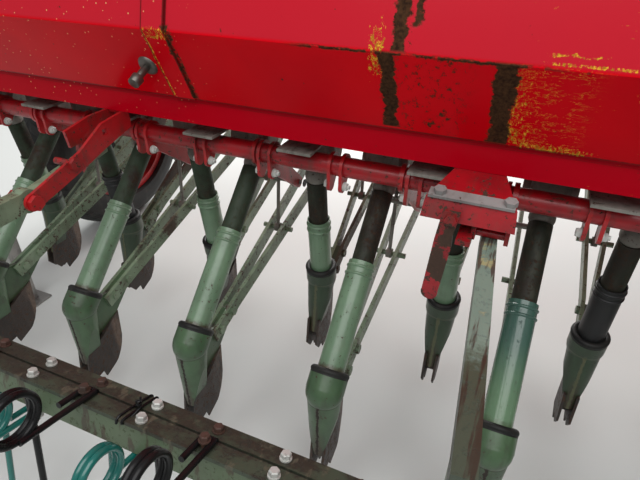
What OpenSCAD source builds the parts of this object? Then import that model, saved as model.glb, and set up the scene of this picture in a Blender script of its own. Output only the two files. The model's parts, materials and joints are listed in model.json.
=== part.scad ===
// Mounted seed drill with two staggered rows of drag-arm coulters, a seed hopper with
// a hinged lid, two land wheels, a three-point headstock and a following tine harrow.
// X is to the right seen from behind, Y is the way of travel, Z is up, floor at Z = 0.

/* [Rows] */
// Number of seed rows, odd ones run in front
rows = 18; // [12:2:18]
// Distance between neighbouring rows
row_pitch = 139; // [132:1:139]
// Distance from the outer rows to the hopper's ends
end_margin = 46.5; // [44:0.5:60]
// Height of the coulter tips over the floor, raised for parking
tip_lift = 102; // [60:1:130]
// Distance of the front row's collars behind the axle
front_row_back = 446; // [430:1:460]
// Distance of the rear row's collars behind the axle
rear_row_back = 735; // [710:1:760]

/* [Coulters] */
// Height of a boot from its tip to its collar
boot_h = 211; // [190:1:230]
// Outer radius of the boot's mouth
mouth_r = 34; // [32:0.5:38]
// Wall of the boot's mouth
mouth_wall = 3; // [2:0.5:4]
// Length of the straight band at the boot's mouth
mouth_len = 26; // [20:1:34]
// Radius of the boot at its tip
boot_tip_r = 17; // [14:0.5:20]
// Width of the boot's flattened end
boot_tip_w = 18; // [16:1:21]
// Height of the boot's end over its nominal tip
tongue_h = 54; // [44:1:64]
// Distance of the boot's tip behind the collar
boot_rake = 34; // [20:1:44]
// Thickness of the web that the arm is bolted to
web_t = 10; // [8:1:12]
// Width of the hoe blade over its two cheeks
blade_w = 32; // [30:1:36]
// Width of the blade over its cheeks at the bottom
blade_tip_w = 25; // [23:1:28]
// Width of the blade's front edge
blade_nose_w = 10; // [8:1:14]

/* [Drag arms] */
// Thickness of an arm's flat bar
bar_t = 8; // [6:1:10]
// Height of an arm's flat bar
bar_h = 30; // [24:1:36]
// Half distance between the two bars at the pivot, to their inner faces
bar_spread = 32; // [28:1:38]
// Length of the stretch where the bars lie flat on the web
bar_flat = 95; // [80:1:110]
// Distance of the arm pivots in front of the axle
arm_pivot_front = 62; // [40:1:90]
// Height of the arm pivots
arm_pivot_h = 490; // [470:1:510]
// Radius of the arm's pivot pin
arm_pin_r = 8; // [6:1:10]
// Radius of the rod that the pressure spring pulls on
cross_rod_r = 6; // [5:1:8]
// Distance of the rear row's cross rods behind the axle
rear_rod_back = 386; // [370:1:400]
// Distance of the front row's cross rods behind the axle
front_rod_back = 179; // [165:1:195]

/* [Seed tubes] */
// Outer radius of the lower tube
lower_tube_r = 24; // [22:0.5:26]
// Outer radius of the upper tube
upper_tube_r = 20; // [18:0.5:21]
// Wall of both tubes
tube_wall = 2; // [1.5:0.5:2]
// Share of the tube line that the lower tube covers
lower_share = 0.62; // [0.55:0.01:0.7]
// Distance of the outlets behind the axle
outlet_back = 475; // [465:1:485]
// Height of the outlet balls
outlet_h = 557; // [550:1:564]
// Radius of the outlet ball that the tube hangs on
outlet_ball_r = 22; // [20:0.5:24]
// Thickness of the rubber collar
collar_t = 12; // [8:1:16]

/* [Hopper] */
// Wall of the hopper
hopper_wall = 3; // [2:0.5:4]
// Height of the hopper's floor
hopper_floor_h = 676; // [668:1:684]
// Height of the skirt from the floor to the step
skirt_h = 41; // [36:1:50]
// Height from the step to the fold in the rear wall
fold_rise = 119; // [105:1:130]
// Height from the fold to the rim
rim_rise = 354; // [300:1:400]
// Distance of the skirt behind the axle
skirt_back = 585; // [580:1:592]
// Distance of the fold behind the axle
fold_back = 655; // [645:1:665]
// Distance of the rim's rear edge behind the axle
rim_back = 545; // [530:1:560]
// Distance of the rim's front edge behind the axle
rim_front_back = 20; // [0:1:40]
// Distance of the floor's front edge behind the axle
floor_front_back = 385; // [375:1:400]
// Height of the rim over the knee in the front wall
knee_drop = 215; // [190:1:250]
// Distance of that knee behind the axle
knee_back = 55; // [40:1:80]
// Width of the flat strap on the rear wall
strap_w = 42; // [30:1:60]
// Distance of the strap left of the middle
strap_left = 540; // [400:1:700]
// Thickness of the strap
strap_t = 4; // [3:1:6]
// Distance of the slide plates' rear edges behind the axle
slide_back = 581; // [570:1:584]

/* [Lid] */
// Crown of the lid over the rim
lid_crown = 55; // [30:1:80]
// Sheet thickness of the lid
lid_t = 3; // [2:0.5:4]
// Depth of the lid's rear lip
lid_lip = 28; // [20:1:40]
// Radius of the hinge pins
hinge_r = 5; // [4:0.5:6]
// Distance between neighbouring hinges
hinge_pitch = 800; // [600:1:800]

/* [Pressure gear] */
// Radius of the pressure shafts
shaft_r = 18; // [15:1:20]
// Distance of the rear shaft behind the axle
rear_shaft_back = 540; // [535:1:545]
// Height of the rear shaft
rear_shaft_h = 615; // [610:1:618]
// Distance of the front shaft behind the axle
front_shaft_back = 255; // [245:1:265]
// Height of the front shaft
front_shaft_h = 590; // [580:1:600]
// Height of the rear row's trunnions, which carry the spring rods
rear_trunnion_h = 480; // [472:1:490]
// Height of the front row's trunnions
front_trunnion_h = 530; // [520:1:540]
// Radius of the spring rods
rod_r = 4; // [3:0.5:5]
// Outer radius of the pressure springs
spring_r = 12; // [10:0.5:14]
// Length of the pressure springs
spring_len = 62; // [50:1:70]
// Sideways distance from a row to its pressure lever
lever_side = 50; // [46:1:54]

/* [Wheels] */
// Radius of the tyre
tyre_r = 330; // [320:1:345]
// Half width of the tyre
tyre_half = 80; // [76:1:84]
// Distance of the wheels' middle planes from the side plates
wheel_gap = 134; // [130:1:154]
// Radius of the spindle
spindle_r = 20; // [18:1:24]
// Radius of the hub
hub_r = 46; // [40:1:52]
// Half length of the hub
hub_half = 62; // [60:1:64]

/* [Frame] */
// Side of the square main beam
main_beam = 100; // [80:5:120]
// Wall of the main beam
main_wall = 6; // [4:1:8]
// Distance of the main beam's middle in front of the axle
main_beam_front = 330; // [310:1:350]
// Height of the main beam's middle
main_beam_h = 560; // [545:1:575]
// Side of the square coulter beam
coulter_beam = 60; // [50:5:70]
// Thickness of the side plates
side_t = 8; // [6:1:10]

/* [Headstock] */
// Half distance between the shoulders of the lower hitch pins
hitch_half = 412; // [400:1:420]
// Radius of the lower hitch pins
hitch_pin_r = 14.2; // [11:0.1:18]
// Free length of the lower hitch pins
hitch_pin_len = 75; // [60:1:90]
// Height of the lower hitch pins
hitch_h = 480; // [470:1:490]
// Distance of the hitch pins in front of the axle
hitch_front = 450; // [440:1:470]
// Height of the mast from the lower pins to the top pin
mast_h = 610; // [560:1:650]
// Radius of the bores for the top link's pin
top_bore_r = 12.8; // [9:0.1:16]
// Inner gap between the top link's ears
top_gap = 52; // [48:1:60]

/* [Harrow] */
// Distance of the harrow's pivot behind the axle
harrow_pivot_back = 819; // [812:1:826]
// Height of the harrow's pivot
harrow_pivot_h = 586; // [583:1:590]
// Width of a harrow arm
harrow_arm_w = 22; // [20:1:24]
// Height of a harrow arm
harrow_arm_h = 34; // [30:1:38]
// Sideways place of the outer harrow arms
harrow_arm_x = 722; // [720:1:724]
// Angle by which the middle arm is turned to the right
arm_askew = 4.5; // [0:0.5:5]
// Distance of the harrow beam's upper rear edge behind the axle
harrow_beam_back = 1044; // [1036:1:1052]
// Height of that edge
harrow_beam_h = 490; // [480:1:500]
// Tilt of the harrow beam, rear side up
harrow_tilt = 14; // [10:1:18]
// Width of the harrow beam's tube
harrow_tube_w = 43; // [40:1:46]
// Height of the harrow beam's tube
harrow_tube_h = 40; // [36:1:44]
// Distance of the innermost tines from the middle
tine_first = 60.5; // [58:0.5:64]
// Distance between neighbouring tines
tine_pitch = 86.5; // [84:0.5:88]
// Number of tines on each half of the harrow
tine_half_count = 14; // [8:2:14]
// Distance of the coils behind the beam, along its tilt
coil_back = 82; // [76:1:88]
// Radius of a tine's wire
wire_r = 4.25; // [4:0.25:5]
// Mean radius of a tine's coil
coil_r = 28; // [24:1:32]
// Height of the tine tips over the floor
tine_tip_h = 70; // [40:1:100]

/* [Parking legs] */
// Side of the square leg
leg_side = 40; // [36:1:44]
// Length of the leg over its foot
leg_len = 760; // [700:1:800]
// Distance of the legs behind the axle
leg_back = 560; // [552:1:575]
// Width of the foot plate
foot_w = 90; // [70:1:100]

/* [Hidden] */

$fn = 48;
fit = 0.3;
run_fit = 0.06;

// Colours of the finishes
red = [0.72, 0.05, 0.07];
green = [0.33, 0.47, 0.34];
rust = [0.30, 0.20, 0.15];
steel = [0.55, 0.55, 0.53];
black = [0.08, 0.08, 0.08];
teal = [0.02, 0.42, 0.38];
grey = [0.45, 0.44, 0.41];

// The drill is centred on the origin, so the axle lies a little in front of it
rear_reach = harrow_beam_back + 136;
front_reach = hitch_front + 38;
axle_y = (rear_reach - front_reach) / 2;
axle_h = tyre_r;

// Widths and heights that follow from the driving sizes
hopper_half = (rows - 1) / 2 * row_pitch + end_margin;
wheel_x = hopper_half + side_t + wheel_gap;
step_h = hopper_floor_h + skirt_h;
fold_h = step_h + fold_rise;
rim_h = fold_h + rim_rise;
knee_h = rim_h - knee_drop;

// Rows: odd ones have their coulters in front
function row_x(i) = (i - (rows + 1) / 2) * row_pitch;
front_rows = [for (i = [1:2:rows]) row_x(i)];
rear_rows = [for (i = [2:2:rows]) row_x(i)];
collar_h = tip_lift + boot_h;
function back(d) = axle_y - d;

// Places in the plane of a row, as [y, z]
outlet = [back(outlet_back), outlet_h];
rear_collar = [back(rear_row_back), collar_h];
front_collar = [back(front_row_back), collar_h];
arm_pivot = [axle_y + arm_pivot_front, arm_pivot_h];
function arm_foot(collar) = collar + [56, -46];

// Angle and length of a line in a row's plane, from p to q
function lean(p, q) = atan2(q[0] - p[0], q[1] - p[1]);
function reach(p, q) = norm(q - p);
function along(p, q, d) = p + (q - p) * d / norm(q - p);

// Height on an arm's line at a given y
function arm_h_at(collar, y) =
    let (f = arm_foot(collar))
    f[1] + (arm_pivot[1] - f[1]) * (y - f[0]) / (arm_pivot[0] - f[0]);
rear_rod = [back(rear_rod_back), arm_h_at(rear_collar, back(rear_rod_back))];
front_rod = [back(front_rod_back), arm_h_at(front_collar, back(front_rod_back))];

// Side view shapes are drawn as [y, z] and extruded along X, centred on x
module side_extrude(x, w) {
    translate([x - w / 2, 0, 0]) rotate([90, 0, 90]) linear_extrude(w) children();
}

// Round bar along X, centred on x, at p = [y, z]
module cross_bar(x, p, r, w) {
    translate([x - w / 2, p[0], p[1]]) rotate([0, 90, 0]) cylinder(r = r, h = w);
}

// Places children so that their +Z runs from p towards q in the plane at x
module lay_along(x, p, q) {
    translate([x, p[0], p[1]]) rotate([-lean(p, q), 0, 0]) children();
}

// Hexagon head or nut along X
module hex_x(x, p, across, w) {
    translate([x - w / 2, p[0], p[1]]) rotate([0, 90, 0])
        cylinder(r = across / sqrt(3), h = w, $fn = 6);
}

// Two circles and the straight sides between them, the second one at [0, -d]
module pear(r1, r2, d) {
    side = 0.995;
    circle(r1);
    translate([0, -d]) circle(r2);
    polygon([[r1 * side, 0], [-r1 * side, 0], [-r2 * side, -d], [r2 * side, -d]]);
}

// Mitred inset of a counter-clockwise outline
function side_normal(a, b) = let (d = (b - a) / norm(b - a)) [-d[1], d[0]];
function inset_corner(a, b, c, t) =
    let (n1 = side_normal(a, b), n2 = side_normal(b, c)) b + (n1 + n2) * t / (1 + n1 * n2);
function inset(p, t) = [for (i = [0:len(p) - 1])
    inset_corner(p[(i + len(p) - 1) % len(p)], p[i], p[(i + 1) % len(p)], t)];

// Funnel of a boot, with its radius grown for the pieces that stand round it
function boot_neck(collar) = collar - (outlet - collar) * mouth_len / norm(outlet - collar);
module funnel(x, neck, tip, grow) {
    lay_along(x, neck, tip)
        cylinder(r1 = mouth_r - 2.5 + grow, r2 = boot_tip_r + grow, h = reach(neck, tip) + grow);
}

// Funnel flattened towards its end, with its width grown for the blade round it
module boot_core(x, collar, grow) {
    neck = boot_neck(collar);
    tip = collar + [-boot_rake, -boot_h];
    wide = mouth_r + grow;
    narrow = boot_tip_w / 2 + grow;
    intersection() {
        union() {
            translate([x, neck[0], neck[1]]) sphere(mouth_r - 0.5 + grow);
            funnel(x, neck, tip, grow);
        }
        translate([x, collar[0] + 100, 0]) rotate([90, 0, 0]) linear_extrude(250)
            polygon([[-wide, collar[1] + 40], [-wide, neck[1] - 20],
                     [-narrow, tip[1] + tongue_h - grow], [narrow, tip[1] + tongue_h - grow],
                     [wide, neck[1] - 20], [wide, collar[1] + 40]]);
    }
}

// Boot of one coulter: a tilted mouth, a funnel that flattens to its end, and a web
module boot(x, collar) {
    neck = boot_neck(collar);
    difference() {
        union() {
            lay_along(x, neck, collar) cylinder(r = mouth_r, h = mouth_len);
            boot_core(x, collar, 0);
            side_extrude(x, web_t) web_outline(collar, neck);
        }
        lay_along(x, neck, collar) translate([0, 0, -8])
            cylinder(r = mouth_r - mouth_wall, h = mouth_len + 30);
    }
}

// Web in front of the funnel, which ends at the blade's top edge
module web_outline(collar, neck) {
    f = arm_foot(collar);
    end = along(f, arm_pivot, bar_flat - 30);
    up = [-(end - f)[1], (end - f)[0]] / norm(end - f) * bar_h / 2;
    polygon([neck + [0, -20], f + up + [-24, 4], f + up, end + up, end - up,
             blade_top(collar)[1], blade_top(collar)[0]]);
}
function blade_top(collar) = [collar + [-8, -118], collar + [62, -92]];

// Hoe blade: two cheeks round the boot's end that join in a bulging front edge, open at the
// rear, with a cut heel. Outline points are [y, z] from the collar or from the boot's tip.
blade_bulge_r = 85;
module blade_side(collar) {
    tip = collar + [0, -boot_h];
    top = blade_top(collar);
    polygon(concat(
        [top[0] + [-36, -4], tip + [-57, 27], tip + [-40, 4], tip + [-19, 8], tip + [-14, -13]],
        [for (a = [-52:13:0]) tip + [-25, 71] + blade_bulge_r * [cos(a), sin(a)]],
        [top[1] + [3, 1], top[0]]));
}
module blade_plan() {
    pocket = boot_tip_w + 2 * fit;
    polygon([[-blade_w / 2, -70], [-pocket / 2, -70], [-pocket / 2, 8], [pocket / 2, 8],
             [pocket / 2, -70], [blade_w / 2, -70], [blade_w / 2, 0], [blade_nose_w / 2, 70],
             [-blade_nose_w / 2, 70], [-blade_w / 2, 0]]);
}
module blade(x, collar) {
    top_z = collar[1] - 80;
    bottom_z = collar[1] - boot_h - 20;
    difference() {
        intersection() {
            side_extrude(x, blade_w) blade_side(collar);
            translate([x, collar[0], bottom_z]) linear_extrude(top_z - bottom_z) blade_plan();
            translate([x, collar[0] + 100, 0]) rotate([90, 0, 0]) linear_extrude(250)
                polygon([[-blade_w / 2, top_z], [-blade_tip_w / 2, bottom_z],
                         [blade_tip_w / 2, bottom_z], [blade_w / 2, top_z]]);
        }
        boot_core(x, collar, fit);
    }
}

// Drag arm: two flat bars that close on the web, a cross rod, bolts and a pivot pin
module arm(x, collar, rod) {
    f = along(arm_foot(collar), arm_pivot, -14);
    flat_end = along(f, arm_pivot, bar_flat);
    out = bar_spread - web_t / 2;
    run = reach(flat_end, arm_pivot);
    for (s = [-1, 1]) {
        lay_along(x + s * (web_t + bar_t) / 2, f, arm_pivot)
            translate([-bar_t / 2, -bar_h / 2, 0]) cube([bar_t, bar_h, bar_flat + 3]);
        lay_along(x + s * (web_t + bar_t) / 2, flat_end, arm_pivot)
            rotate([0, s * atan2(out, run), 0])
            translate([-bar_t / 2, -bar_h / 2, 0]) cube([bar_t, bar_h, norm([out, run]) - 8]);
        difference() {
            cross_bar(x + s * (bar_spread + bar_t / 2), arm_pivot, eye_r, bar_t);
            cross_bar(x, arm_pivot, arm_pin_r - 1, 3 * bar_spread);
        }
        hex_x(x + s * (bar_spread + bar_t + 2.5), arm_pivot, 24, 7);
    }
    cross_bar(x, arm_pivot, arm_pin_r, 2 * bar_spread + 2 * bar_t);
    for (d = [22, 70]) {
        p = along(f, arm_pivot, d);
        for (s = [-1, 1]) hex_x(x + s * (web_t / 2 + bar_t + 2.5), p, 17, 7);
    }
    cross_bar(x, rod, cross_rod_r, rod_span(collar, rod) + 30);
}
// Distance between the bars' outer faces at the cross rod
function rod_span(collar, rod) =
    let (f = along(arm_foot(collar), arm_pivot, bar_flat - 14),
         k = reach(f, rod) / reach(f, arm_pivot))
    web_t + 2 * bar_t + 2 * k * (bar_spread - web_t / 2);

// Telescopic seed tube in two pieces, and the rubber collar on the boot
function tube_start(collar) =
    along(outlet, collar, sqrt(pow(outlet_ball_r + fit, 2) - pow(upper_tube_r - tube_wall, 2)));
module lower_tube(x, collar) {
    len = reach(outlet, collar) * lower_share;
    lay_along(x, along(collar, outlet, -14), outlet) difference() {
        union() {
            cylinder(r = lower_tube_r, h = len);
            for (z = [len - 10, len - 24]) translate([0, 0, z]) rotate_extrude()
                translate([lower_tube_r - 1, 0]) circle(3, $fn = 24);
        }
        translate([0, 0, -1]) cylinder(r = lower_tube_r - tube_wall, h = len + 2);
    }
}
module upper_tube(x, collar) {
    len = reach(outlet, collar) * (1 - lower_share) + 45;
    lay_along(x, tube_start(collar), collar) difference() {
        cylinder(r = upper_tube_r, h = len);
        translate([0, 0, -1]) cylinder(r = upper_tube_r - tube_wall, h = len + 2);
    }
}
module rubber_collar(x, collar) {
    lay_along(x, collar, outlet) difference() {
        union() {
            cylinder(r = mouth_r, h = collar_t / 2);
            translate([0, 0, collar_t / 2]) rotate_extrude()
                translate([mouth_r - collar_t / 2 + 1, 0]) circle(collar_t / 2, $fn = 24);
        }
        translate([0, 0, -1]) cylinder(r = lower_tube_r + fit, h = collar_t + 3);
    }
}

module boots_rear() { color(green) for (x = rear_rows) boot(x, rear_collar); }
module boots_front() { color(green) for (x = front_rows) boot(x, front_collar); }
module blades_rear() { color(rust) for (x = rear_rows) blade(x, rear_collar); }
module blades_front() { color(rust) for (x = front_rows) blade(x, front_collar); }
module arms_rear() { color(green) for (x = rear_rows) arm(x, rear_collar, rear_rod); }
module arms_front() { color(green) for (x = front_rows) arm(x, front_collar, front_rod); }
module lower_tubes_rear() { color(green) for (x = rear_rows) lower_tube(x, rear_collar); }
module lower_tubes_front() { color(green) for (x = front_rows) lower_tube(x, front_collar); }
module upper_tubes_rear() { color(rust) for (x = rear_rows) upper_tube(x, rear_collar); }
module upper_tubes_front() { color(rust) for (x = front_rows) upper_tube(x, front_collar); }
module rubber_collars() {
    color(black) {
        for (x = rear_rows) rubber_collar(x, rear_collar);
        for (x = front_rows) rubber_collar(x, front_collar);
    }
}

// Square beam with a lug and bushing for each arm's pivot
eye_r = bar_h / 2 + 3;
bush_r = arm_pin_r + 6;
coulter_beam_y = arm_pivot[0] + eye_r + 2 + coulter_beam / 2;
module beam_tube(side, wall, y, z) {
    translate([0, y, z]) difference() {
        cube([2 * hopper_half, side, side], center = true);
        cube([2 * hopper_half + 2, side - 2 * wall, side - 2 * wall], center = true);
    }
}
module coulter_beam() {
    color(red) {
        beam_tube(coulter_beam, 5, coulter_beam_y, arm_pivot_h);
        for (i = [1:rows]) difference() {
            side_extrude(row_x(i), 2 * (bar_spread - 1.2)) translate(arm_pivot) {
                circle(bush_r);
                translate([0, -bush_r]) square([eye_r + 2, 2 * bush_r]);
            }
            cross_bar(row_x(i), arm_pivot, arm_pin_r + run_fit, 3 * bar_spread);
        }
    }
}

// Hopper section as [y, z], counter-clockwise seen with Y to the right
hopper_outline = [
    [back(rim_front_back), rim_h], [back(rim_back), rim_h], [back(fold_back), fold_h],
    [back(skirt_back + 12), step_h], [back(skirt_back), step_h],
    [back(skirt_back), hopper_floor_h], [back(floor_front_back), hopper_floor_h],
    [back(knee_back), knee_h]];
inner = inset(hopper_outline, hopper_wall);
module hopper() {
    color(red) difference() {
        union() {
            side_extrude(0, 2 * hopper_half) polygon(hopper_outline);
            strap();
            for (x = hinge_pitch * [-1, 0, 1]) hinge_seat(x);
        }
        side_extrude(0, 2 * (hopper_half - hopper_wall)) polygon(inner);
        translate([0, back(rim_back / 2 + rim_front_back / 2), rim_h])
            cube([2 * (hopper_half - hopper_wall), rim_back - rim_front_back - 2 * hopper_wall, 60],
                 center = true);
        for (i = [1:rows]) translate([row_x(i) - 14, outlet[0] - 14, hopper_floor_h - 1])
            cube([28, 28, hopper_wall + 2]);
    }
}

// Flat strap that follows the rear wall
module strap() {
    outer = inset([for (k = [1:3]) hopper_outline[k]], 0);
    out = [[-strap_t, 0], [-strap_t, 2], [-strap_t, 0]];
    side_extrude(-strap_left, strap_w) polygon(concat(
        [for (k = [0:2]) outer[k] + out[k]],
        [for (k = [2:-1:0]) outer[k] + [1, 0]]));
}

// Hinge of the lid: seats and pin on the hopper, knuckle on the lid
hinge_at = [back(rim_front_back) + hinge_r + 9, rim_h + 4];
hinge_gap = 34;
module hinge_seat(x) {
    for (s = [-1, 1]) {
        cross_bar(x + s * (hinge_gap / 2 + 8), hinge_at, hinge_r + 4, 16);
        translate([x + s * (hinge_gap / 2 + 8) - 8, back(rim_front_back) - 1, rim_h - 30])
            cube([16, hinge_r + 9, 34]);
    }
    cross_bar(x, hinge_at, hinge_r, hinge_gap + 20);
}

// Lid: a crowned sheet with closed ends and a rear lip, resting on the rim
lid_rear = back(rim_back) - 22;
lid_front = back(rim_front_back) - 2;
lid_half = hopper_half + 8.5;
lid_span = lid_front - lid_rear;
lid_radius = (lid_span * lid_span / 4 + lid_crown * lid_crown) / (2 * lid_crown);
module lid_arch(t) {
    intersection() {
        translate([(lid_rear + lid_front) / 2, rim_h + fit + lid_t + lid_crown - lid_radius])
            circle(lid_radius - t, $fn = 180);
        translate([lid_rear + t, rim_h + fit + lid_t - t])
            square([lid_span - 2 * t, lid_crown + 10]);
    }
}
module lid() {
    color(red) difference() {
        union() {
            side_extrude(0, 2 * lid_half) {
                lid_arch(0);
                translate([lid_rear, rim_h - lid_lip]) square([lid_t, lid_lip + 4]);
                translate([lid_rear, rim_h + fit]) square([lid_span, lid_t]);
            }
            for (x = hinge_pitch * [-1, 0, 1]) {
                cross_bar(x, hinge_at, hinge_r + 4, hinge_gap - 2);
                translate([x - hinge_gap / 2 + 1, lid_front - 20, rim_h + fit])
                    cube([hinge_gap - 2, 20 + hinge_r + 6, lid_t + 2]);
            }
        }
        side_extrude(0, 2 * (lid_half - lid_t)) difference() {
            lid_arch(lid_t);
            translate([lid_front - 6, 0]) square([20, 3000]);
        }
        side_extrude(0, 2 * (hopper_half - hopper_wall - 2))
            translate([back(rim_back) + hopper_wall + 3, rim_h - 1])
            square([lid_span - 2 * hopper_wall - 20, lid_t + 3]);
        for (x = hinge_pitch * [-1, 0, 1]) cross_bar(x, hinge_at, hinge_r + run_fit, hinge_gap + 10);
    }
}

// Metering housings under the hopper's floor, each with an outlet ball
housing_half = 30;
module metering_housings() {
    color(grey) for (i = [1:rows]) {
        x = row_x(i);
        translate([x - 30, outlet[0] - housing_half, outlet_h + 25])
            cube([60, 2 * housing_half, hopper_floor_h - outlet_h - 25]);
        translate([x, outlet[0], outlet_h]) {
            sphere(outlet_ball_r);
            cylinder(r = 15, h = 30);
        }
        cross_bar(x, outlet + [8, 55], 22, 84);
    }
}

// Weathered slide plates that look out over the rear shaft, each given as the row that it
// stands at and its sideways distance from that row
slides = [[1, 12], [3, -54], [4, 20], [6, -54], [7, 3], [9, -44], [11, -58], [12, 12],
          [14, -55], [15, 15], [17, -52], [18, -7]];
slide_w = 64;
slide_t = 5;
module outlet_shutters() {
    near = back(slide_back);
    color(grey) for (k = slides) if (k[0] <= rows)
        translate([row_x(k[0]) + k[1] - slide_w / 2, near, rear_shaft_h + shaft_r + 7.5])
            cube([slide_w, outlet[0] - housing_half - fit - near, slide_t]);
}

// Angle along the hopper's lower rear edge
rail_t = 5;
rail_h = hopper_floor_h - 6;
module rear_rail() {
    color(red) side_extrude(0, 2 * hopper_half) polygon([
        [back(skirt_back), step_h], [back(skirt_back) - rail_t, step_h],
        [back(skirt_back) - rail_t, rail_h], [back(skirt_back) + 38, rail_h],
        [back(skirt_back) + 38, hopper_floor_h], [back(skirt_back), hopper_floor_h]]);
}

// Pressure shafts, with a lever for each row, and pear-shaped ears on the rear shaft
rear_shaft = [back(rear_shaft_back), rear_shaft_h];
front_shaft = [back(front_shaft_back), front_shaft_h];
rear_trunnion = [rear_rod[0] + 12, rear_trunnion_h];
front_trunnion = [front_rod[0] + 12, front_trunnion_h];
trunnion_r = 6;
function inward(x) = x > 0 ? -1 : 1;
module lever(x, shaft, trunnion) {
    at = x + inward(x) * lever_side;
    difference() {
        side_extrude(at, 8) translate(shaft)
            rotate(180 - lean(shaft, trunnion)) pear(shaft_r + 6, 13, reach(shaft, trunnion));
        cross_bar(at, trunnion, trunnion_r, 20);
        cross_bar(at, shaft, shaft_r + run_fit, 20);
    }
}
module ear_pair(x) {
    for (s = [-1, 1]) {
        at = x + inward(x) * (lever_side + 22) + s * 11;
        difference() {
            side_extrude(at, 6) translate(rear_shaft) rotate(-20) pear(shaft_r + 6, 12, 34);
            cross_bar(at, rear_shaft, shaft_r + run_fit, 20);
        }
    }
}
module pressure_shaft_rear() { color(red) cross_bar(0, rear_shaft, shaft_r, 2 * hopper_half); }
module pressure_shaft_front() { color(red) cross_bar(0, front_shaft, shaft_r, 2 * hopper_half); }
module pressure_levers() {
    color(red) {
        for (x = rear_rows) lever(x, rear_shaft, rear_trunnion);
        for (x = front_rows) lever(x, front_shaft, front_trunnion);
    }
}
module spring_ears() {
    color(red) for (i = [1:rows]) if (i != rows / 2) ear_pair(row_x(i));
}

// Spring rods: an eye round the cross rod, a rod, a trunnion and a top nut
module spring_rod(x, rod, trunnion) {
    lay_along(x, rod, trunnion) translate([0, 0, cross_rod_r + 1])
        cylinder(r = rod_r, h = reach(rod, trunnion) + spring_len + 6);
    difference() {
        cross_bar(x, rod, cross_rod_r + 5, 12);
        cross_bar(x, rod, cross_rod_r + fit, 20);
    }
    cross_bar(x + inward(x) * (lever_side / 2 - 6), trunnion, 6 - fit, lever_side + 26);
    lay_along(x, rod, trunnion) translate([0, 0, reach(rod, trunnion) + spring_len + 6])
        cylinder(r = 9, h = 6, $fn = 6);
}
module spring_rods() {
    color(rust) {
        for (x = rear_rows) spring_rod(x, rear_rod, rear_trunnion);
        for (x = front_rows) spring_rod(x, front_rod, front_trunnion);
    }
}

// Pressure springs, as a sleeve whose outline follows the turns
spring_turns = 8;
module pressure_spring(x, rod, trunnion) {
    pitch = (spring_len - 2) / spring_turns;
    lay_along(x, rod, trunnion) translate([0, 0, reach(rod, trunnion) + 7]) rotate_extrude()
        polygon(concat([[rod_r + fit, 0]],
            [for (k = [0:spring_turns - 1], e = [[spring_r - 4, 0.02], [spring_r, 0.35],
                [spring_r, 0.65], [spring_r - 4, 0.98]]) [e[0], (k + e[1]) * pitch]],
            [[rod_r + fit, spring_len - 2]]));
}
module pressure_springs() {
    color(steel) {
        for (x = rear_rows) pressure_spring(x, rear_rod, rear_trunnion);
        for (x = front_rows) pressure_spring(x, front_rod, front_trunnion);
    }
}

// Main beam of the frame
beam_mid = [axle_y + main_beam_front, main_beam_h];
module main_beam() {
    color(red) beam_tube(main_beam, main_wall, beam_mid[0], beam_mid[1]);
}

// Side plates that join hopper, beams, spindle and parking leg
side_mid = hopper_half + side_t / 2;
side_outline = [
    [-605, 590], [-380, 575], [-150, 450], [-75, 285], [75, 285], [150, 430],
    [main_beam_front + 60, main_beam_h - 60], [main_beam_front + 60, main_beam_h + 60],
    [180, 690], [-60, 830], [-420, 830], [-605, 700]];
module side_plate(s) {
    sleeve_w = leg_side + 10;
    color(red) {
        side_extrude(s * side_mid, side_t) translate([axle_y, 0]) polygon(side_outline);
        translate([s * (hopper_half + side_t + sleeve_w / 2), back(leg_back), 650])
            difference() {
                cube([sleeve_w, sleeve_w, 110], center = true);
                cube([leg_side + 2 * fit, leg_side + 2 * fit, 120], center = true);
            }
    }
}

// Parking legs that slide in the sleeves
leg_x = hopper_half + side_t + leg_side / 2 + 5;
module leg(s) {
    color(steel) translate([s * leg_x, back(leg_back), 0]) {
        difference() {
            translate([-leg_side / 2, -leg_side / 2, 6]) cube([leg_side, leg_side, leg_len]);
            translate([-leg_side / 2 + 4, -leg_side / 2 + 4, 12])
                cube([leg_side - 8, leg_side - 8, leg_len]);
        }
        translate([-foot_w / 2, -foot_w / 2, 0]) cube([foot_w, foot_w, 6]);
    }
}

// Spindles of the land wheels
module spindle(s) {
    inner_x = hopper_half + side_t;
    hub_in = wheel_x - hub_half;
    color(red) translate([0, axle_y, axle_h]) rotate([0, s * 90, 0]) {
        translate([0, 0, inner_x + 6]) cube([110, 110, 12], center = true);
        translate([0, 0, inner_x + 12]) cylinder(r = spindle_r + 14, h = hub_in - inner_x - 13);
        translate([0, 0, inner_x + 12])
            cylinder(r = spindle_r, h = 2 * hub_half + hub_in - inner_x);
        translate([0, 0, wheel_x + hub_half + 1]) cylinder(r = spindle_r + 10, h = 12);
    }
}

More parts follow.
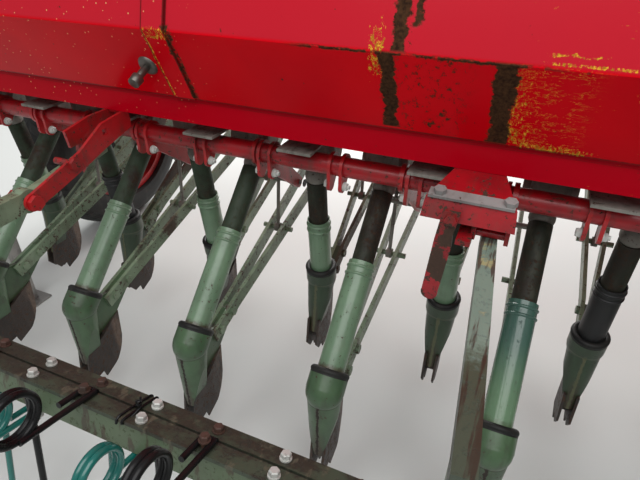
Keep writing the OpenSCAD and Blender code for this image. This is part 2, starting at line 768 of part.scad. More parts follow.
// Rim with a drop centre, a dished disc and a hub, drawn as [radius, along the axle]
bead_r = 206;
flange_half = 60;
module rim(s) {
    color(red) translate([s * wheel_x, axle_y, axle_h]) rotate([0, s * 90, 0]) {
        rotate_extrude($fn = 96) polygon([
            [bead_r + 18, -flange_half], [bead_r + 18, -flange_half + 4], [bead_r, -flange_half + 5],
            [bead_r, -34], [bead_r - 26, -26], [bead_r - 26, 26], [bead_r, 34],
            [bead_r, flange_half - 5], [bead_r + 18, flange_half - 4], [bead_r + 18, flange_half],
            [bead_r - 5, flange_half], [bead_r - 5, 38], [bead_r - 31, 30], [bead_r - 31, -30],
            [bead_r - 5, -38], [bead_r - 5, -flange_half]]);
        rotate_extrude($fn = 96) polygon([
            [hub_r - 4, 10], [110, 10], [140, -16], [bead_r - 29, -16],
            [bead_r - 29, -10], [143, -10], [113, 16], [hub_r - 4, 16]]);
        difference() {
            translate([0, 0, -hub_half]) cylinder(r = hub_r, h = 2 * hub_half);
            translate([0, 0, -hub_half - 8])
                cylinder(r = spindle_r + run_fit, h = 2 * hub_half + 16);
        }
        for (a = [0:72:288]) rotate(a) translate([82, 0, 15])
            cylinder(r = 11, h = 11, $fn = 6);
    }
}

// Tyre with a hollow section, drawn as [radius, along the axle]
module tyre(s) {
    color(black) translate([s * wheel_x, axle_y, axle_h]) rotate([0, 90, 0])
        rotate_extrude($fn = 120) difference() {
            union() {
                intersection() {
                    translate([tyre_r - tyre_half, 0]) circle(tyre_half, $fn = 72);
                    translate([bead_r + 22, -100]) square([200, 200]);
                }
                translate([bead_r + 0.5, -flange_half + 5.6])
                    square([30, 2 * (flange_half - 5.6)]);
            }
            intersection() {
                translate([tyre_r - tyre_half - 2, 0]) circle(tyre_half - 13, $fn = 72);
                translate([bead_r + 34, -100]) square([200, 200]);
            }
            translate([bead_r - 5, -flange_half + 16]) square([45, 2 * (flange_half - 16)]);
        }
}

// Gearbox on the left end and the chain case down to the wheel
gearbox_w = 20;
module gearbox() {
    color(grey) translate([-hopper_half - side_t - gearbox_w, back(outlet_back) - 5, 705])
        cube([gearbox_w, 150, 110]);
}
chain_top = [back(outlet_back) + 70, 760];
chain_w = 24;
chain_x = -hopper_half - side_t - gearbox_w - chain_w / 2;
module chain_case() {
    hub = [axle_y, axle_h];
    color(black) difference() {
        side_extrude(chain_x, chain_w) translate(hub)
            rotate(180 - lean(hub, chain_top)) pear(84, 52, reach(chain_top, hub));
        cross_bar(chain_x, hub, spindle_r + 14, 40);
    }
}

// Headstock: lower ears on the main beam, and an A-shaped mast with top ears
hitch = [axle_y + hitch_front, hitch_h];
top_pin = [axle_y + hitch_front, hitch_h + mast_h];
ear_t = 14;
ear_gap = 48;
shoulder_t = 6;
shank_r = hitch_pin_r + 4;
mast_t = 40;
mast_y = beam_mid[0] + 10;
mast_foot_z = beam_mid[1] + main_beam / 2;
mast_head_z = top_pin[1] - 20;
mast_bar_z = mast_foot_z + 200;
function ear_x(s, k) = s * (hitch_half - shoulder_t - ear_t / 2 - k * (ear_gap + ear_t));
module lower_ear(x) {
    difference() {
        side_extrude(x, ear_t) polygon([
            beam_mid + [main_beam / 2, 50], beam_mid + [main_beam / 2, -50],
            hitch + [-30, -40], hitch + [32, -32], hitch + [38, 0], hitch + [30, 36]]);
        cross_bar(x, hitch, shank_r + run_fit, 200);
    }
}
module top_ear(x) {
    side_extrude(x, ear_t) polygon([
        [mast_y - mast_t / 2 - 4, top_pin[1] - 96], [mast_y + mast_t / 2 + 4, top_pin[1] - 96],
        top_pin + [26, -24], top_pin + [30, 10], top_pin + [10, 30],
        [mast_y - mast_t / 2 - 4, top_pin[1] + 20]]);
}
module mast_front() {
    for (s = [-1, 1]) polygon([
        [s * (hitch_half - 30), mast_foot_z], [s * (hitch_half - 90), mast_foot_z],
        [s * (top_gap / 2 + 3), mast_head_z - 90], [s * (top_gap / 2 + 3), mast_head_z],
        [s * (top_gap / 2 + ear_t + 24), mast_head_z]]);
    translate([-210, mast_bar_z]) square([420, 40]);
}
module headstock() {
    color(red) {
        for (s = [-1, 1], k = [0, 1]) lower_ear(ear_x(s, k));
        difference() {
            union() {
                translate([0, mast_y + mast_t / 2, 0]) rotate([90, 0, 0])
                    linear_extrude(mast_t) mast_front();
                for (s = [-1, 1]) top_ear(s * (top_gap + ear_t) / 2);
                translate([-top_gap / 2 - 2, mast_y - mast_t / 2 + 5, top_pin[1] - 90])
                    cube([top_gap + 4, mast_t - 10, 12]);
            }
            cross_bar(0, top_pin, top_bore_r, 200);
        }
    }
}

// Round braces from the back of the mast to the top of the coulter beam
brace_r = 13;
module mast_braces() {
    beam_top_z = arm_pivot_h + coulter_beam / 2 + fit;
    color(red) for (s = [-1, 1]) {
        top = [s * 62, mast_y, mast_head_z - 50];
        foot = [s * 300, coulter_beam_y, beam_top_z - 20];
        run = foot - top;
        difference() {
            translate(top) rotate([0, acos(run[2] / norm(run)), atan2(run[1], run[0])])
                cylinder(r = brace_r, h = norm(run));
            translate([s * 300, coulter_beam_y, beam_top_z - 50]) cube([140, 140, 100], center = true);
            translate([s * 62, mast_y - mast_t / 2 - fit + 50, top[2]]) cube([160, 100, 160], center = true);
        }
    }
}

// Lower hitch pins: a shank in the ears, a shoulder and the free end
module hitch_pin(s) {
    inner = hitch_half - shoulder_t - 2 * ear_t - ear_gap - 8;
    color(steel) {
        cross_bar(s * (inner + hitch_half) / 2, hitch, shank_r, hitch_half - inner);
        cross_bar(s * (hitch_half - shoulder_t / 2 + fit / 2), hitch, shank_r + 6, shoulder_t - fit);
        cross_bar(s * (inner - 3), hitch, shank_r + 6, 8);
        cross_bar(s * (hitch_half + hitch_pin_len / 2), hitch, hitch_pin_r, hitch_pin_len);
    }
}

// Harrow: brackets under the rail, level arms with a post each, a tilted beam and the tines
pivot = [back(harrow_pivot_back), harrow_pivot_h];
pivot_r = 8;
boss_r = harrow_arm_h / 2 + 3;
plate_t = 6;
plate_off = harrow_arm_w / 2 + 5 + plate_t / 2;
stop_r = 6;
head_h = 20;
head_rise = 9;
head_len = 185;
stop_at = 96;
outer_stop = pivot + stop_at * [cos(head_rise), sin(head_rise)]
    + (head_h / 2 + stop_r + fit) * [-sin(head_rise), cos(head_rise)];
rail_foot = [back(skirt_back), rail_h - fit];
plate_x = harrow_arm_x - plate_off;

// Outer bracket: a long plate inside the arm that holds pivot and stop, a short plate outside
module harrow_bracket(s) {
    short_x = harrow_arm_x + plate_off;
    pin_in = plate_x - plate_t / 2;
    color(red) {
        difference() {
            side_extrude(s * plate_x, plate_t) {
                difference() {
                    polygon([rail_foot + [11, 0], rail_foot + [-11, 0], rail_foot + [-61, -6],
                             pivot + [112, 46], pivot + [0, 14.8], pivot + [0, -14.8],
                             pivot + [113, 14], pivot + [173, 32], rail_foot + [11, -34]]);
                    translate(rail_foot + [-63, -28]) square(11);
                }
                translate(pivot) circle(15);
            }
            cross_bar(s * plate_x, pivot, pivot_r - 1, 20);
        }
        side_extrude(s * short_x, plate_t) polygon([
            rail_foot + [11, 0], rail_foot + [-51, 0], rail_foot + [-111, -10],
            rail_foot + [-107, -42], rail_foot + [-61, -40], rail_foot + [11, -18]]);
        translate([s * harrow_arm_x - plate_off, back(skirt_back), rail_foot[1] - 6])
            cube([2 * plate_off, 34, 6]);
        cross_bar(s * (pin_in + short_x + 4) / 2, pivot, pivot_r, short_x + 4 - pin_in);
        cross_bar(s * (pin_in + short_x) / 2, outer_stop, stop_r, short_x - pin_in);
        hex_x(s * (pin_in - 4), pivot, 24, 9);
        hex_x(s * (short_x + 3), pivot, 24, 9);
        hex_x(s * (pin_in - 3), outer_stop, 19, 7);
    }
}

// Outer arm: a level bar with a boss, a post down to the beam and a head under the stop
post_w = 38;
post_rear = [back(harrow_beam_back) + 6, harrow_pivot_h];
function over_beam(y) = harrow_beam_h - (y - beam_top[0]) * tan(harrow_tilt) + fit * 1.05;
module arm_post() {
    polygon([post_rear + [0, harrow_arm_h / 2], [post_rear[0], over_beam(post_rear[0])],
             [post_rear[0] + post_w, over_beam(post_rear[0] + post_w)],
             post_rear + [post_w, harrow_arm_h / 2]]);
}
module harrow_arm(x) {
    color(green) difference() {
        side_extrude(x, harrow_arm_w) {
            translate([post_rear[0] + 1, pivot[1] - harrow_arm_h / 2])
                square([pivot[0] - post_rear[0] - 1, harrow_arm_h]);
            translate(pivot) circle(boss_r);
            translate(pivot) rotate(head_rise) translate([0, -head_h / 2])
                square([head_len, head_h]);
            arm_post();
        }
        cross_bar(x, pivot, pivot_r + run_fit, 100);
    }
}

// Middle arm: turned a little sideways, with no pivot; its head bears on a pin in the bracket
middle_x = 11;
middle_head = 198;
middle_stop = pivot + [163, harrow_arm_h / 2 + stop_r + fit];
module middle_arm() {
    color(green) translate([middle_x, pivot[0], 0]) rotate([0, 0, arm_askew])
        translate([0, -pivot[0], 0]) side_extrude(0, harrow_arm_w) {
            translate([post_rear[0] + 1, pivot[1] - harrow_arm_h / 2])
                square([pivot[0] + middle_head - post_rear[0] - 1, harrow_arm_h]);
            arm_post();
        }
}

// Middle bracket: a bent sheet, ears with the stop pin, and a flat stub beside them
sheet_x = -35;
sheet_slope = [rail_foot + [-3, 0], rail_foot + [-83, -13.7]];
module middle_bracket() {
    color(red) {
        intersection() {
            side_extrude(sheet_x, 200) polygon([
                rail_foot + [34, 0], sheet_slope[0], sheet_slope[1], rail_foot + [-94, -41.7],
                rail_foot + [-89, -43.7], rail_foot + [-78, -18.7], rail_foot + [-3, -5.5],
                rail_foot + [34, -5.5]]);
            translate([sheet_x, rail_foot[0], rail_foot[1] - 60]) linear_extrude(80) polygon([
                [-36, 40], [-36, -1], [-62, -86], [-66, -101], [66, -101], [62, -86], [36, -1],
                [36, 40]]);
        }
        for (x = [-24, 21]) side_extrude(x, plate_t) polygon([
            rail_foot + [-81, -16.7], middle_stop + [-12, -8], middle_stop + [12, -8],
            rail_foot + [-46, -10.7]]);
        cross_bar(-1.5, middle_stop, stop_r, 51);
        translate([-44, middle_stop[0] - 35, middle_stop[1] - 8]) cube([20, 47, 8]);
    }
}

// Flat strip bolted across the sheet, and the link that hangs in front of its flange
module bracket_strip() {
    slope = atan2(13.7, 80);
    color(grey) {
        side_extrude(sheet_x, 116) translate(sheet_slope[1]) rotate(slope)
            translate([-3, fit]) square([20, 4]);
        for (x = [-78, 16]) translate([x, sheet_slope[1][0], sheet_slope[1][1]])
            rotate([slope, 0, 0]) translate([0, 7, fit + 3]) cylinder(r = 9, h = 8, $fn = 6);
    }
}
link_t = 5;
module hanging_link() {
    rear = rail_foot[0] - 97.5 - link_t;
    top = [-55, rail_foot[1] - 22];
    foot = [-69, 507];
    knee = [-61, 602];
    color(red) {
        translate([0, rear + link_t, 0]) rotate([90, 0, 0]) linear_extrude(link_t) {
            polygon([top + [-12, 0], knee + [-12, 0], foot + [-12, 0], foot + [12, 0],
                     knee + [13, -8], knee + [12, 8], top + [12, 0]]);
            translate(foot) circle(12.3);
        }
        translate([top[0], rear + 1, top[1] - 12]) rotate([-90, 0, 0])
            cylinder(r = 5, h = link_t + 4.2);
        translate([top[0], rear - 4, top[1] - 12]) rotate([-90, 0, 0])
            cylinder(r = 9, h = 5, $fn = 6);
    }
}

// Beam: a square tube under a wider plate with a groove, tilted, its rear side up
beam_top = [back(harrow_beam_back), harrow_beam_h];
harrow_half = tine_first + (tine_half_count - 1) * tine_pitch + 25;
overhang = 4;
cover_t = 5;
function beam_point(p, n) = beam_top + p * [cos(harrow_tilt), -sin(harrow_tilt)]
    + n * [sin(harrow_tilt), cos(harrow_tilt)];
module beam_outline() {
    wide = harrow_tube_w + 2 * overhang;
    deep = harrow_tube_h + cover_t;
    translate(beam_top) rotate(-harrow_tilt) difference() {
        polygon([[0, 0], [24, 0], [24, -cover_t], [27, -cover_t], [27, 0], [wide, 0],
                 [wide, -cover_t], [wide - overhang, -cover_t], [wide - overhang, -deep],
                 [overhang, -deep], [overhang, -cover_t], [0, -cover_t]]);
        translate([overhang + 4, -deep + 4])
            square([harrow_tube_w - 8, harrow_tube_h - 9]);
    }
}
module harrow_beam() { color(green) side_extrude(0, 2 * harrow_half) beam_outline(); }

// One spring tine: a hairpin foot clamped at a level, a double coil and a leg
tine_foot = [back(rear_reach) + wire_r, tine_tip_h];
thin = wire_r - 0.4;
foot_reach = 20;
stub_reach = -20;
hairpin = 7.5;
module tine(x, level, reach_back) {
    main_x = x + 4;
    coil = beam_point(-reach_back, level + coil_r);
    turn = 0.9 * wire_r;
    translate([main_x - 2 * turn, coil[0], coil[1]]) rotate([0, 90, 0]) rotate_extrude() {
        for (k = [-1, 1]) translate([coil_r, k * turn]) circle(wire_r, $fn = 24);
        translate([coil_r - 2, -turn]) square([4, 2 * turn]);
    }
    heel = beam_point(foot_reach, level);
    lay_along(main_x, beam_point(-reach_back, level), heel)
        cylinder(r = thin, h = reach_back + foot_reach);
    lay_along(main_x - 2 * hairpin, beam_point(stub_reach, level), heel)
        cylinder(r = thin, h = foot_reach - stub_reach);
    cross_bar(main_x - hairpin, heel, thin - 0.3, 2 * hairpin + 2 * thin - 2);
    leg_top = coil + [coil_r, 0];
    lay_along(main_x - 4 * turn, leg_top, tine_foot)
        cylinder(r = thin, h = reach(leg_top, tine_foot));
}

// Black tines stand on the beam and teal ones under it, by turns from the middle
function tine_x(j) = tine_first + j * tine_pitch;
module tines_black() {
    color(black) {
        for (j = [0:2:tine_half_count - 1]) tine(-tine_x(j), wire_r + fit, coil_back);
        for (j = [1:2:tine_half_count - 1]) tine(tine_x(j), wire_r + fit, coil_back);
    }
}
module tines_teal() {
    low = -harrow_tube_h - cover_t - wire_r - fit;
    color(teal) {
        for (j = [1:2:tine_half_count - 1]) tine(-tine_x(j), low, coil_back - 27);
        for (j = [0:2:tine_half_count - 1]) tine(tine_x(j), low, coil_back - 27);
    }
}

main_beam();
headstock();
mast_braces();
hitch_pin(-1);  // hitch_pin_left
hitch_pin(1);  // hitch_pin_right
side_plate(-1);  // side_plate_left
side_plate(1);  // side_plate_right
hopper();
lid();
metering_housings();
outlet_shutters();
rear_rail();
pressure_shaft_rear();
pressure_shaft_front();
pressure_levers();
spring_ears();
spring_rods();
pressure_springs();
coulter_beam();
arms_rear();
arms_front();
boots_rear();
boots_front();
blades_rear();
blades_front();
lower_tubes_rear();
lower_tubes_front();
upper_tubes_rear();
upper_tubes_front();
rubber_collars();
spindle(-1);  // spindle_left
spindle(1);  // spindle_right
gearbox();
chain_case();
leg(-1);  // leg_left
leg(1);  // leg_right
tyre(-1);  // tyre_left
rim(-1);  // rim_left
tyre(1);  // tyre_right
rim(1);  // rim_right
harrow_bracket(-1);  // harrow_bracket_left
harrow_bracket(1);  // harrow_bracket_right
middle_bracket();  // harrow_bracket_centre
bracket_strip();
hanging_link();
harrow_arm(-harrow_arm_x);  // harrow_arm_left
harrow_arm(harrow_arm_x);  // harrow_arm_right
middle_arm();  // harrow_arm_centre
harrow_beam();
tines_black();
tines_teal();
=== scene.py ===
# %% [markdown]
# # A mounted seed drill, dressed for its picture
# The drill's pieces come in finished from its construction model: hopper, shafts, tubes, boots,
# harrow and wheels, all at real size in metres. What is left for Blender is how they look. Old red
# paint that has worn to yellow primer and rust, faded green arms and boots, black rubber and steel
# springs are made here as materials, and small fittings are modelled as new pieces.

# %% Load the drill
import functools
import json
import math
from types import SimpleNamespace

import bmesh
import bpy
from mathutils import Matrix, Vector


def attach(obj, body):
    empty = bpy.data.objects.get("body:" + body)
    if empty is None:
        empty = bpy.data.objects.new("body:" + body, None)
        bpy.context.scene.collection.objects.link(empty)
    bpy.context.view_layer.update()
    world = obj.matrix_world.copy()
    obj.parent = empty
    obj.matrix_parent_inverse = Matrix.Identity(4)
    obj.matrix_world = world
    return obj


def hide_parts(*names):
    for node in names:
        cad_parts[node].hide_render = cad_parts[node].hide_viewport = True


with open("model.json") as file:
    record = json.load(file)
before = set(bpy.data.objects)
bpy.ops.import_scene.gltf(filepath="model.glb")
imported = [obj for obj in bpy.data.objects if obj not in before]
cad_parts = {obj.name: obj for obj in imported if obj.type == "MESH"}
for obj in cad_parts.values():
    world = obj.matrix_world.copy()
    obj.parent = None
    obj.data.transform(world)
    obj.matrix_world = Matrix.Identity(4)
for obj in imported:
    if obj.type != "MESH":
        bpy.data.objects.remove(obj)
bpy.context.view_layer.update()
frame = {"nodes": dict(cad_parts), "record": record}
nodes = frame["nodes"]
print("pieces:", len(nodes))

# %% [markdown]
# ## The camera
# The photographer stood behind the drill and looked over the harrow, forwards, down and a little
# to the left. A camera is easiest to aim by three turns: it starts looking straight down, is
# tipped up about X, swung about Z, and rolled about its own line of sight.

# %% Aim the camera
eye = Vector((0.014, -0.954, 0.977))
swing_left = math.radians(23.14)
look_down = math.radians(32.43)
roll = math.radians(0.41)
focal_px = 501.1
image_w = 640
camera_data = bpy.data.cameras.new("camera")
camera_data.sensor_width = 36.0
camera_data.lens = camera_data.sensor_width * focal_px / image_w
camera_data.clip_start = 0.01
camera = bpy.data.objects.new("camera", camera_data)
camera.matrix_world = (Matrix.Translation(eye) @ Matrix.Rotation(swing_left, 4, "Z")
                       @ Matrix.Rotation(math.pi / 2 - look_down, 4, "X")
                       @ Matrix.Rotation(roll, 4, "Z"))
bpy.context.scene.collection.objects.link(camera)
bpy.context.scene.camera = camera
bpy.context.scene.view_settings.view_transform = "Standard"
print("lens in mm:", round(camera_data.lens, 2))

# %% [markdown]
# ## Where things are
# The fittings made here sit on pieces of the construction model, so the places that they share
# are written down once, in metres. A pair is a place in the side view, Y and Z. A point of the
# harrow beam is given by its distance forward of the beam's upper rear edge and its height over the
# cover plate, both along the tilted beam.

# %% Shared places
AXLE_Y, AXLE_Z = 0.346, 0.330
WHEEL_X = 1.370
ROW = 0.139
ROW_X = [(i - 9.5) * ROW for i in range(1, 19)]
FRONT_ROWS, REAR_ROWS = ROW_X[0::2], ROW_X[1::2]
BEAM_EDGE = (AXLE_Y - 1.044, 0.490)
BEAM_TILT = math.radians(14.0)
HOPPER_FOLD, HOPPER_STEP = 0.838, 0.717
STRAP_X = (-0.561, -0.519)
OUTLET, REAR_COLLAR, FRONT_COLLAR = (-0.129, 0.557), (-0.389, 0.313), (-0.100, 0.313)
ARM_PIVOT = (AXLE_Y + 0.062, 0.490)
REAR_TRUNNION, FRONT_TRUNNION = (-0.028, 0.480), (0.179, 0.530)
EAR_BOLT = (-0.2056, 0.583)
NO_EARS = 8  # the middle bracket hangs where this coulter's ears would be
TINES = [(side * (0.0605 + 0.0865 * j), (j % 2 == 0) == (side < 0))
         for side in (-1, 1) for j in range(14)]


def on_beam(forward, up):
    return (BEAM_EDGE[0] + forward * math.cos(BEAM_TILT) + up * math.sin(BEAM_TILT),
            BEAM_EDGE[1] - forward * math.sin(BEAM_TILT) + up * math.cos(BEAM_TILT))


print("tines:", len(TINES), "rows:", len(ROW_X))

# %% [markdown]
# ## Shader maths as Python
# A material is a graph of nodes. Adding each node by hand hides the idea behind the wiring, so one
# small class wraps a socket: arithmetic on it adds Math nodes, and `node` adds any other one.

# %% A socket that does arithmetic
class Field:
    """A value, vector or colour on its way through a material."""

    def __init__(self, tree, socket):
        self.tree = tree
        self.socket = socket

    def node(self, kind, inputs, output=0, **settings):
        made = self.tree.nodes.new(kind)
        for name, value in settings.items():
            setattr(made, name, value)
        for name, value in inputs.items():
            if isinstance(value, Field):
                self.tree.links.new(value.socket, made.inputs[name])
            elif value is not None:
                made.inputs[name].default_value = value
        return Field(self.tree, made.outputs[output])

    def math(self, operation, a, b=None):
        return self.node("ShaderNodeMath", {0: a, 1: b}, operation=operation)

    def alone(self, operation):
        """A Math node that takes this field and nothing else, such as FLOOR or SINE."""
        return self.math(operation, self)

    def __add__(self, other):
        return self.math("ADD", self, other)

    def __sub__(self, other):
        return self.math("SUBTRACT", self, other)

    def __rsub__(self, other):
        return self.math("SUBTRACT", other, self)

    def __mul__(self, other):
        return self.math("MULTIPLY", self, other)

    def __truediv__(self, other):
        return self.math("DIVIDE", self, other)

    def __abs__(self):
        return self.math("ABSOLUTE", self)

    __radd__ = __add__
    __rmul__ = __mul__

    def lower(self, other):
        return self.math("MINIMUM", self, other)

    def higher(self, other):
        return self.math("MAXIMUM", self, other)

    def rise(self, low, high):
        """0 below low, 1 above high, and a soft step between; turned round if low is above high."""
        return self.node("ShaderNodeMapRange", {0: self, 1: low, 2: high},
                         interpolation_type="SMOOTHSTEP")

    def between(self, low, high, soft=0.002):
        """1 from low to high, with soft edges."""
        return self.rise(low - soft, low + soft) * self.rise(high + soft, high - soft)

    def axis(self, letter):
        return self.node("ShaderNodeSeparateXYZ", {0: self}, output="XYZ".index(letter))

    def stretched(self, x, y, z):
        return self.node("ShaderNodeVectorMath", {0: self, 1: (x, y, z)}, operation="MULTIPLY")

    def noise(self, scale, detail=3.0, roughness=0.55):
        return self.node("ShaderNodeTexNoise", {"Vector": self, "Scale": scale, "Detail": detail,
                                                "Roughness": roughness})

    def cells(self, scale):
        """The distance to the nearest of many scattered points."""
        return self.node("ShaderNodeTexVoronoi", {"Vector": self, "Scale": scale})

    def mix(self, below, above):
        """below where this field is 0, above where it is 1."""
        pair = [value if isinstance(value, Field) else (*value, 1.0) for value in (below, above)]
        return self.node("ShaderNodeMix", {0: self, 6: pair[0], 7: pair[1]}, output=2,
                         data_type="RGBA")

    def bump(self, height, strength=0.5, onto=None):
        return self.node("ShaderNodeBump", {"Strength": strength, "Distance": height,
                                            "Height": self, "Normal": onto})


print("a field wraps a socket and its tree")

# %% [markdown]
# ## One start for every finish
# Each material begins the same way: a Principled shader with its fixed numbers set on its own
# sockets, and the place on the piece in metres. The pieces sit at the origin, so that place is
# also where a point is on the drill, and wear can be put exactly where the drill has it.

# %% A material with its surface coordinates
def start_finish(name, **fixed):
    material = bpy.data.materials.new(name)
    material.use_nodes = True
    shader = material.node_tree.nodes["Principled BSDF"]
    for socket, value in fixed.items():
        shader.inputs[socket.replace("_", " ")].default_value = value
    place = material.node_tree.nodes.new("ShaderNodeTexCoord").outputs["Object"]
    return material, shader, Field(material.node_tree, place)


def feed(shader, **fields):
    """Link fields to the shader's sockets, written with _ for a space."""
    for socket, field in fields.items():
        field.tree.links.new(field.socket, shader.inputs[socket.replace("_", " ")])


def tilted(place, y_a, z_a, y_b, z_b):
    """How far a place lies along the line from a to b in the drill's side view, in metres."""
    length = math.hypot(y_b - y_a, z_b - z_a)
    return ((place.axis("Y") - y_a) * ((y_b - y_a) / length)
            + (place.axis("Z") - z_a) * ((z_b - z_a) / length))


print("finishes read Object coordinates in metres")

# %% [markdown]
# ## The hopper's paint
# The hopper is glossy red with a long life behind it. Where sacks were dragged over it the paint
# has gone down to rust in two upright bands, with yellow primer showing along their edges, and
# the fold in the wall is chipped and rusty too. These marks are put by place. Noise makes their
# edges ragged, and small chips and pale specks are scattered over the rest. The placed marks stay
# on the rear wall, whose red is painted brighter than the sides' as painted light, because it
# faces away from the light.

# %% Places and noises on the hopper
BAND_X, BAND_TOP_X, STREAK_X = (-0.182, -0.161), (-0.168, -0.148), (-0.142, -0.132)
SECOND_BAND_X = (-0.036, -0.009)


def hopper_surface(place):
    """What the marks are cut from: places, noises, and masks of the parts of the rear wall."""
    x, z = place.axis("X"), place.axis("Z")
    fold, step = HOPPER_FOLD, HOPPER_STEP
    ragged = place.noise(48.0, detail=5.0, roughness=0.65) - 0.5
    torn = place.noise(130.0, detail=4.0, roughness=0.7) - 0.5
    on_rear = place.axis("Y").rise(-0.14, -0.20) * z.rise(1.06, 0.98)
    return SimpleNamespace(
        place=place, x=x, z=z, fold=fold, step=step, ragged=ragged, torn=torn, on_rear=on_rear,
        broad=place.noise(5.0, detail=3.0), fine=place.noise(210.0, detail=3.0),
        wavy_x=x + ragged * 0.030 + torn * 0.012, wavy_z=z + ragged * 0.012,
        cracks=place.stretched(1.0, 1.0, 0.6).noise(110.0, detail=7.0, roughness=0.8),
        lower_wall=z.between(step + 0.005, fold) * on_rear,
        upper_wall=z.rise(fold - 0.004, fold + 0.004))


def highest(fields):
    return functools.reduce(Field.higher, fields)


print("the fold is at", HOPPER_FOLD, "and the step at", HOPPER_STEP)

# %% Rust, chips and bare primer
def hopper_rust(on):
    """Two upright bands, a streak beside the first, the fold and the strap's right edge."""
    marks = [on.wavy_x.between(*BAND_X) * on.lower_wall,
             on.wavy_x.between(*BAND_TOP_X) * on.upper_wall,
             on.wavy_x.between(*STREAK_X) * on.z.rise(on.fold + 0.028, on.fold + 0.032),
             on.wavy_x.between(*SECOND_BAND_X) * on.z.between(on.step + 0.002, on.fold),
             on.wavy_z.between(on.fold - 0.004, on.fold, 0.001)
             * on.wavy_x.between(-0.30, 0.03, 0.03) * on.ragged.rise(-0.12, 0.0),
             (on.wavy_x - STRAP_X[1]).between(0.0, 0.007)
             * on.z.between(on.step + 0.003, on.fold + 0.007) * on.torn.rise(-0.2, 0.05)]
    return highest(marks) * on.on_rear


def hopper_chips(on):
    """Cracks between the bands, and small chips anywhere."""
    between_bands = on.wavy_x.between(-0.155, -0.07, 0.02) * on.lower_wall
    return highest([on.cracks.rise(0.565, 0.58) * between_bands,
                    (on.torn + on.ragged * 0.6).rise(0.24, 0.255),
                    on.place.cells(34.0).rise(0.085, 0.06) * on.broad.rise(0.52, 0.60)])


def hopper_primer(on):
    """Yellow where the paint is nearly through, broken up by a fine noise, and scratches."""
    beside_band = ((on.x + (on.z - 0.72) * 0.35 + on.ragged * 0.05).rise(0.075, -0.02)
                   * on.x.rise(-0.03, -0.012))
    worn = highest([
        on.wavy_x.between(-0.198, -0.178)
        * on.z.between(on.fold - 0.038, on.fold + 0.030, 0.02) * 0.9,
        beside_band * on.lower_wall,
        on.x.between(0.0, 0.10, 0.02) * on.z.between(on.step - 0.001, on.step + 0.011, 0.004),
        on.x.between(0.020, 0.115, 0.01) * on.z.between(on.fold + 0.002, on.fold + 0.006, 0.001),
        on.x.between(0.02, 0.085, 0.01)
        * on.wavy_z.between(on.fold + 0.012, on.fold + 0.015, 0.001) * 0.9,
        on.x.between(-0.560, -0.515) * on.z.between(on.fold - 0.016, on.fold + 0.004, 0.004) * 0.8,
        (on.x - STRAP_X[0]).between(-0.004, 0.005) * on.lower_wall])
    frayed = on.place.stretched(1.4, 1.0, 0.7).noise(170.0, detail=8.0, roughness=0.80)
    threads = on.place.stretched(0.5, 1.0, 1.6).noise(55.0, detail=8.0, roughness=0.72)
    grazes = on.place.stretched(1.0, 1.0, 3.0).noise(70.0, detail=6.0, roughness=0.75)
    return highest([
        (frayed + worn * 0.17).rise(0.655, 0.67) * worn.rise(0.0, 0.15) * on.on_rear,
        abs(threads - 0.5).rise(0.007, 0.003) * on.x.between(-0.02, 0.075, 0.02) * on.lower_wall
        * on.torn.rise(-0.10, 0.02),
        grazes.rise(0.66, 0.68) * on.x.rise(-0.02, 0.02) * 0.8])


print("rust, chips and primer are masks from 0 to 1")

# %% Red paint of the hopper
def hopper_red(on):
    # Painted light: the rear wall's red is brighter than the sides' red, because the rear wall
    # faces away from the lamps.
    red = on.broad.rise(0.3, 0.7).mix((0.68, 0.0, 0.006), (0.58, 0.0, 0.006))
    # Painted reflection: above the fold the wall is painted a pinker red, for the light it reflects
    # from above.
    red = (on.z.rise(on.fold - 0.002, on.fold + 0.004) * 0.8).mix(red, (0.52, 0.018, 0.034))
    sides = on.broad.rise(0.3, 0.7).mix((0.42, 0.012, 0.018), (0.34, 0.010, 0.016))
    red = (1.0 - on.on_rear).mix(red, sides)
    return (on.z.rise(on.step + 0.005, on.step - 0.005) * 0.8).mix(red, (0.40, 0.001, 0.010))


def hopper_crease_shade(on):
    """Painted shade: dark lines along the strap's edges and along the step."""
    off_strap = abs(on.x - STRAP_X[0]).lower(abs(on.x - STRAP_X[1]))
    beside_strap = (off_strap.rise(0.0030, 0.0012) * on.z.rise(on.step + 0.002, on.step + 0.005)
                    * on.torn.rise(-0.25, -0.05) * on.on_rear)
    creases = on.z.between(on.step - 0.0005, on.step + 0.0022, 0.0006)
    creases = creases.higher(on.z.between(on.step - 0.0082, on.step - 0.0072, 0.0005) * 0.6)
    return beside_strap.higher(creases * on.on_rear * on.torn.rise(-0.30, 0.0) * 0.9)


def hopper_finish():
    material, shader, place = start_finish("hopper_red", Specular_IOR_Level=0.07)
    on = hopper_surface(place)
    primer = hopper_primer(on)
    bare = hopper_rust(on).higher(hopper_chips(on))
    specks = (place.cells(85.0).rise(0.13, 0.09) * on.broad.rise(0.40, 0.55)
              * on.x.rise(-0.40, -0.60))
    yellow = on.fine.rise(0.40, 0.60).mix((0.40, 0.16, 0.012), (0.76, 0.42, 0.030))
    brown = (on.fine * 0.6 + on.cracks * 0.5).rise(0.35, 0.75).mix((0.020, 0.010, 0.006),
                                                                  (0.080, 0.036, 0.016))
    paint = primer.mix((specks * 0.9).mix(hopper_red(on), (0.75, 0.36, 0.16)), yellow)
    # Painted shade along the strap's edges and in the creases of the step is mixed into the paint.
    paint = (hopper_crease_shade(on) * 0.8).mix(paint, (0.060, 0.010, 0.008))
    roughness = (on.broad * 0.12 + 0.16).higher(bare * 0.85).higher(primer * 0.6)
    relief = (1.0 - bare) * 0.5 + on.fine * 0.10 - specks * 0.05
    feed(shader, Base_Color=bare.mix(paint, brown), Roughness=roughness,
         Normal=relief.bump(0.0009, 0.6))
    return material


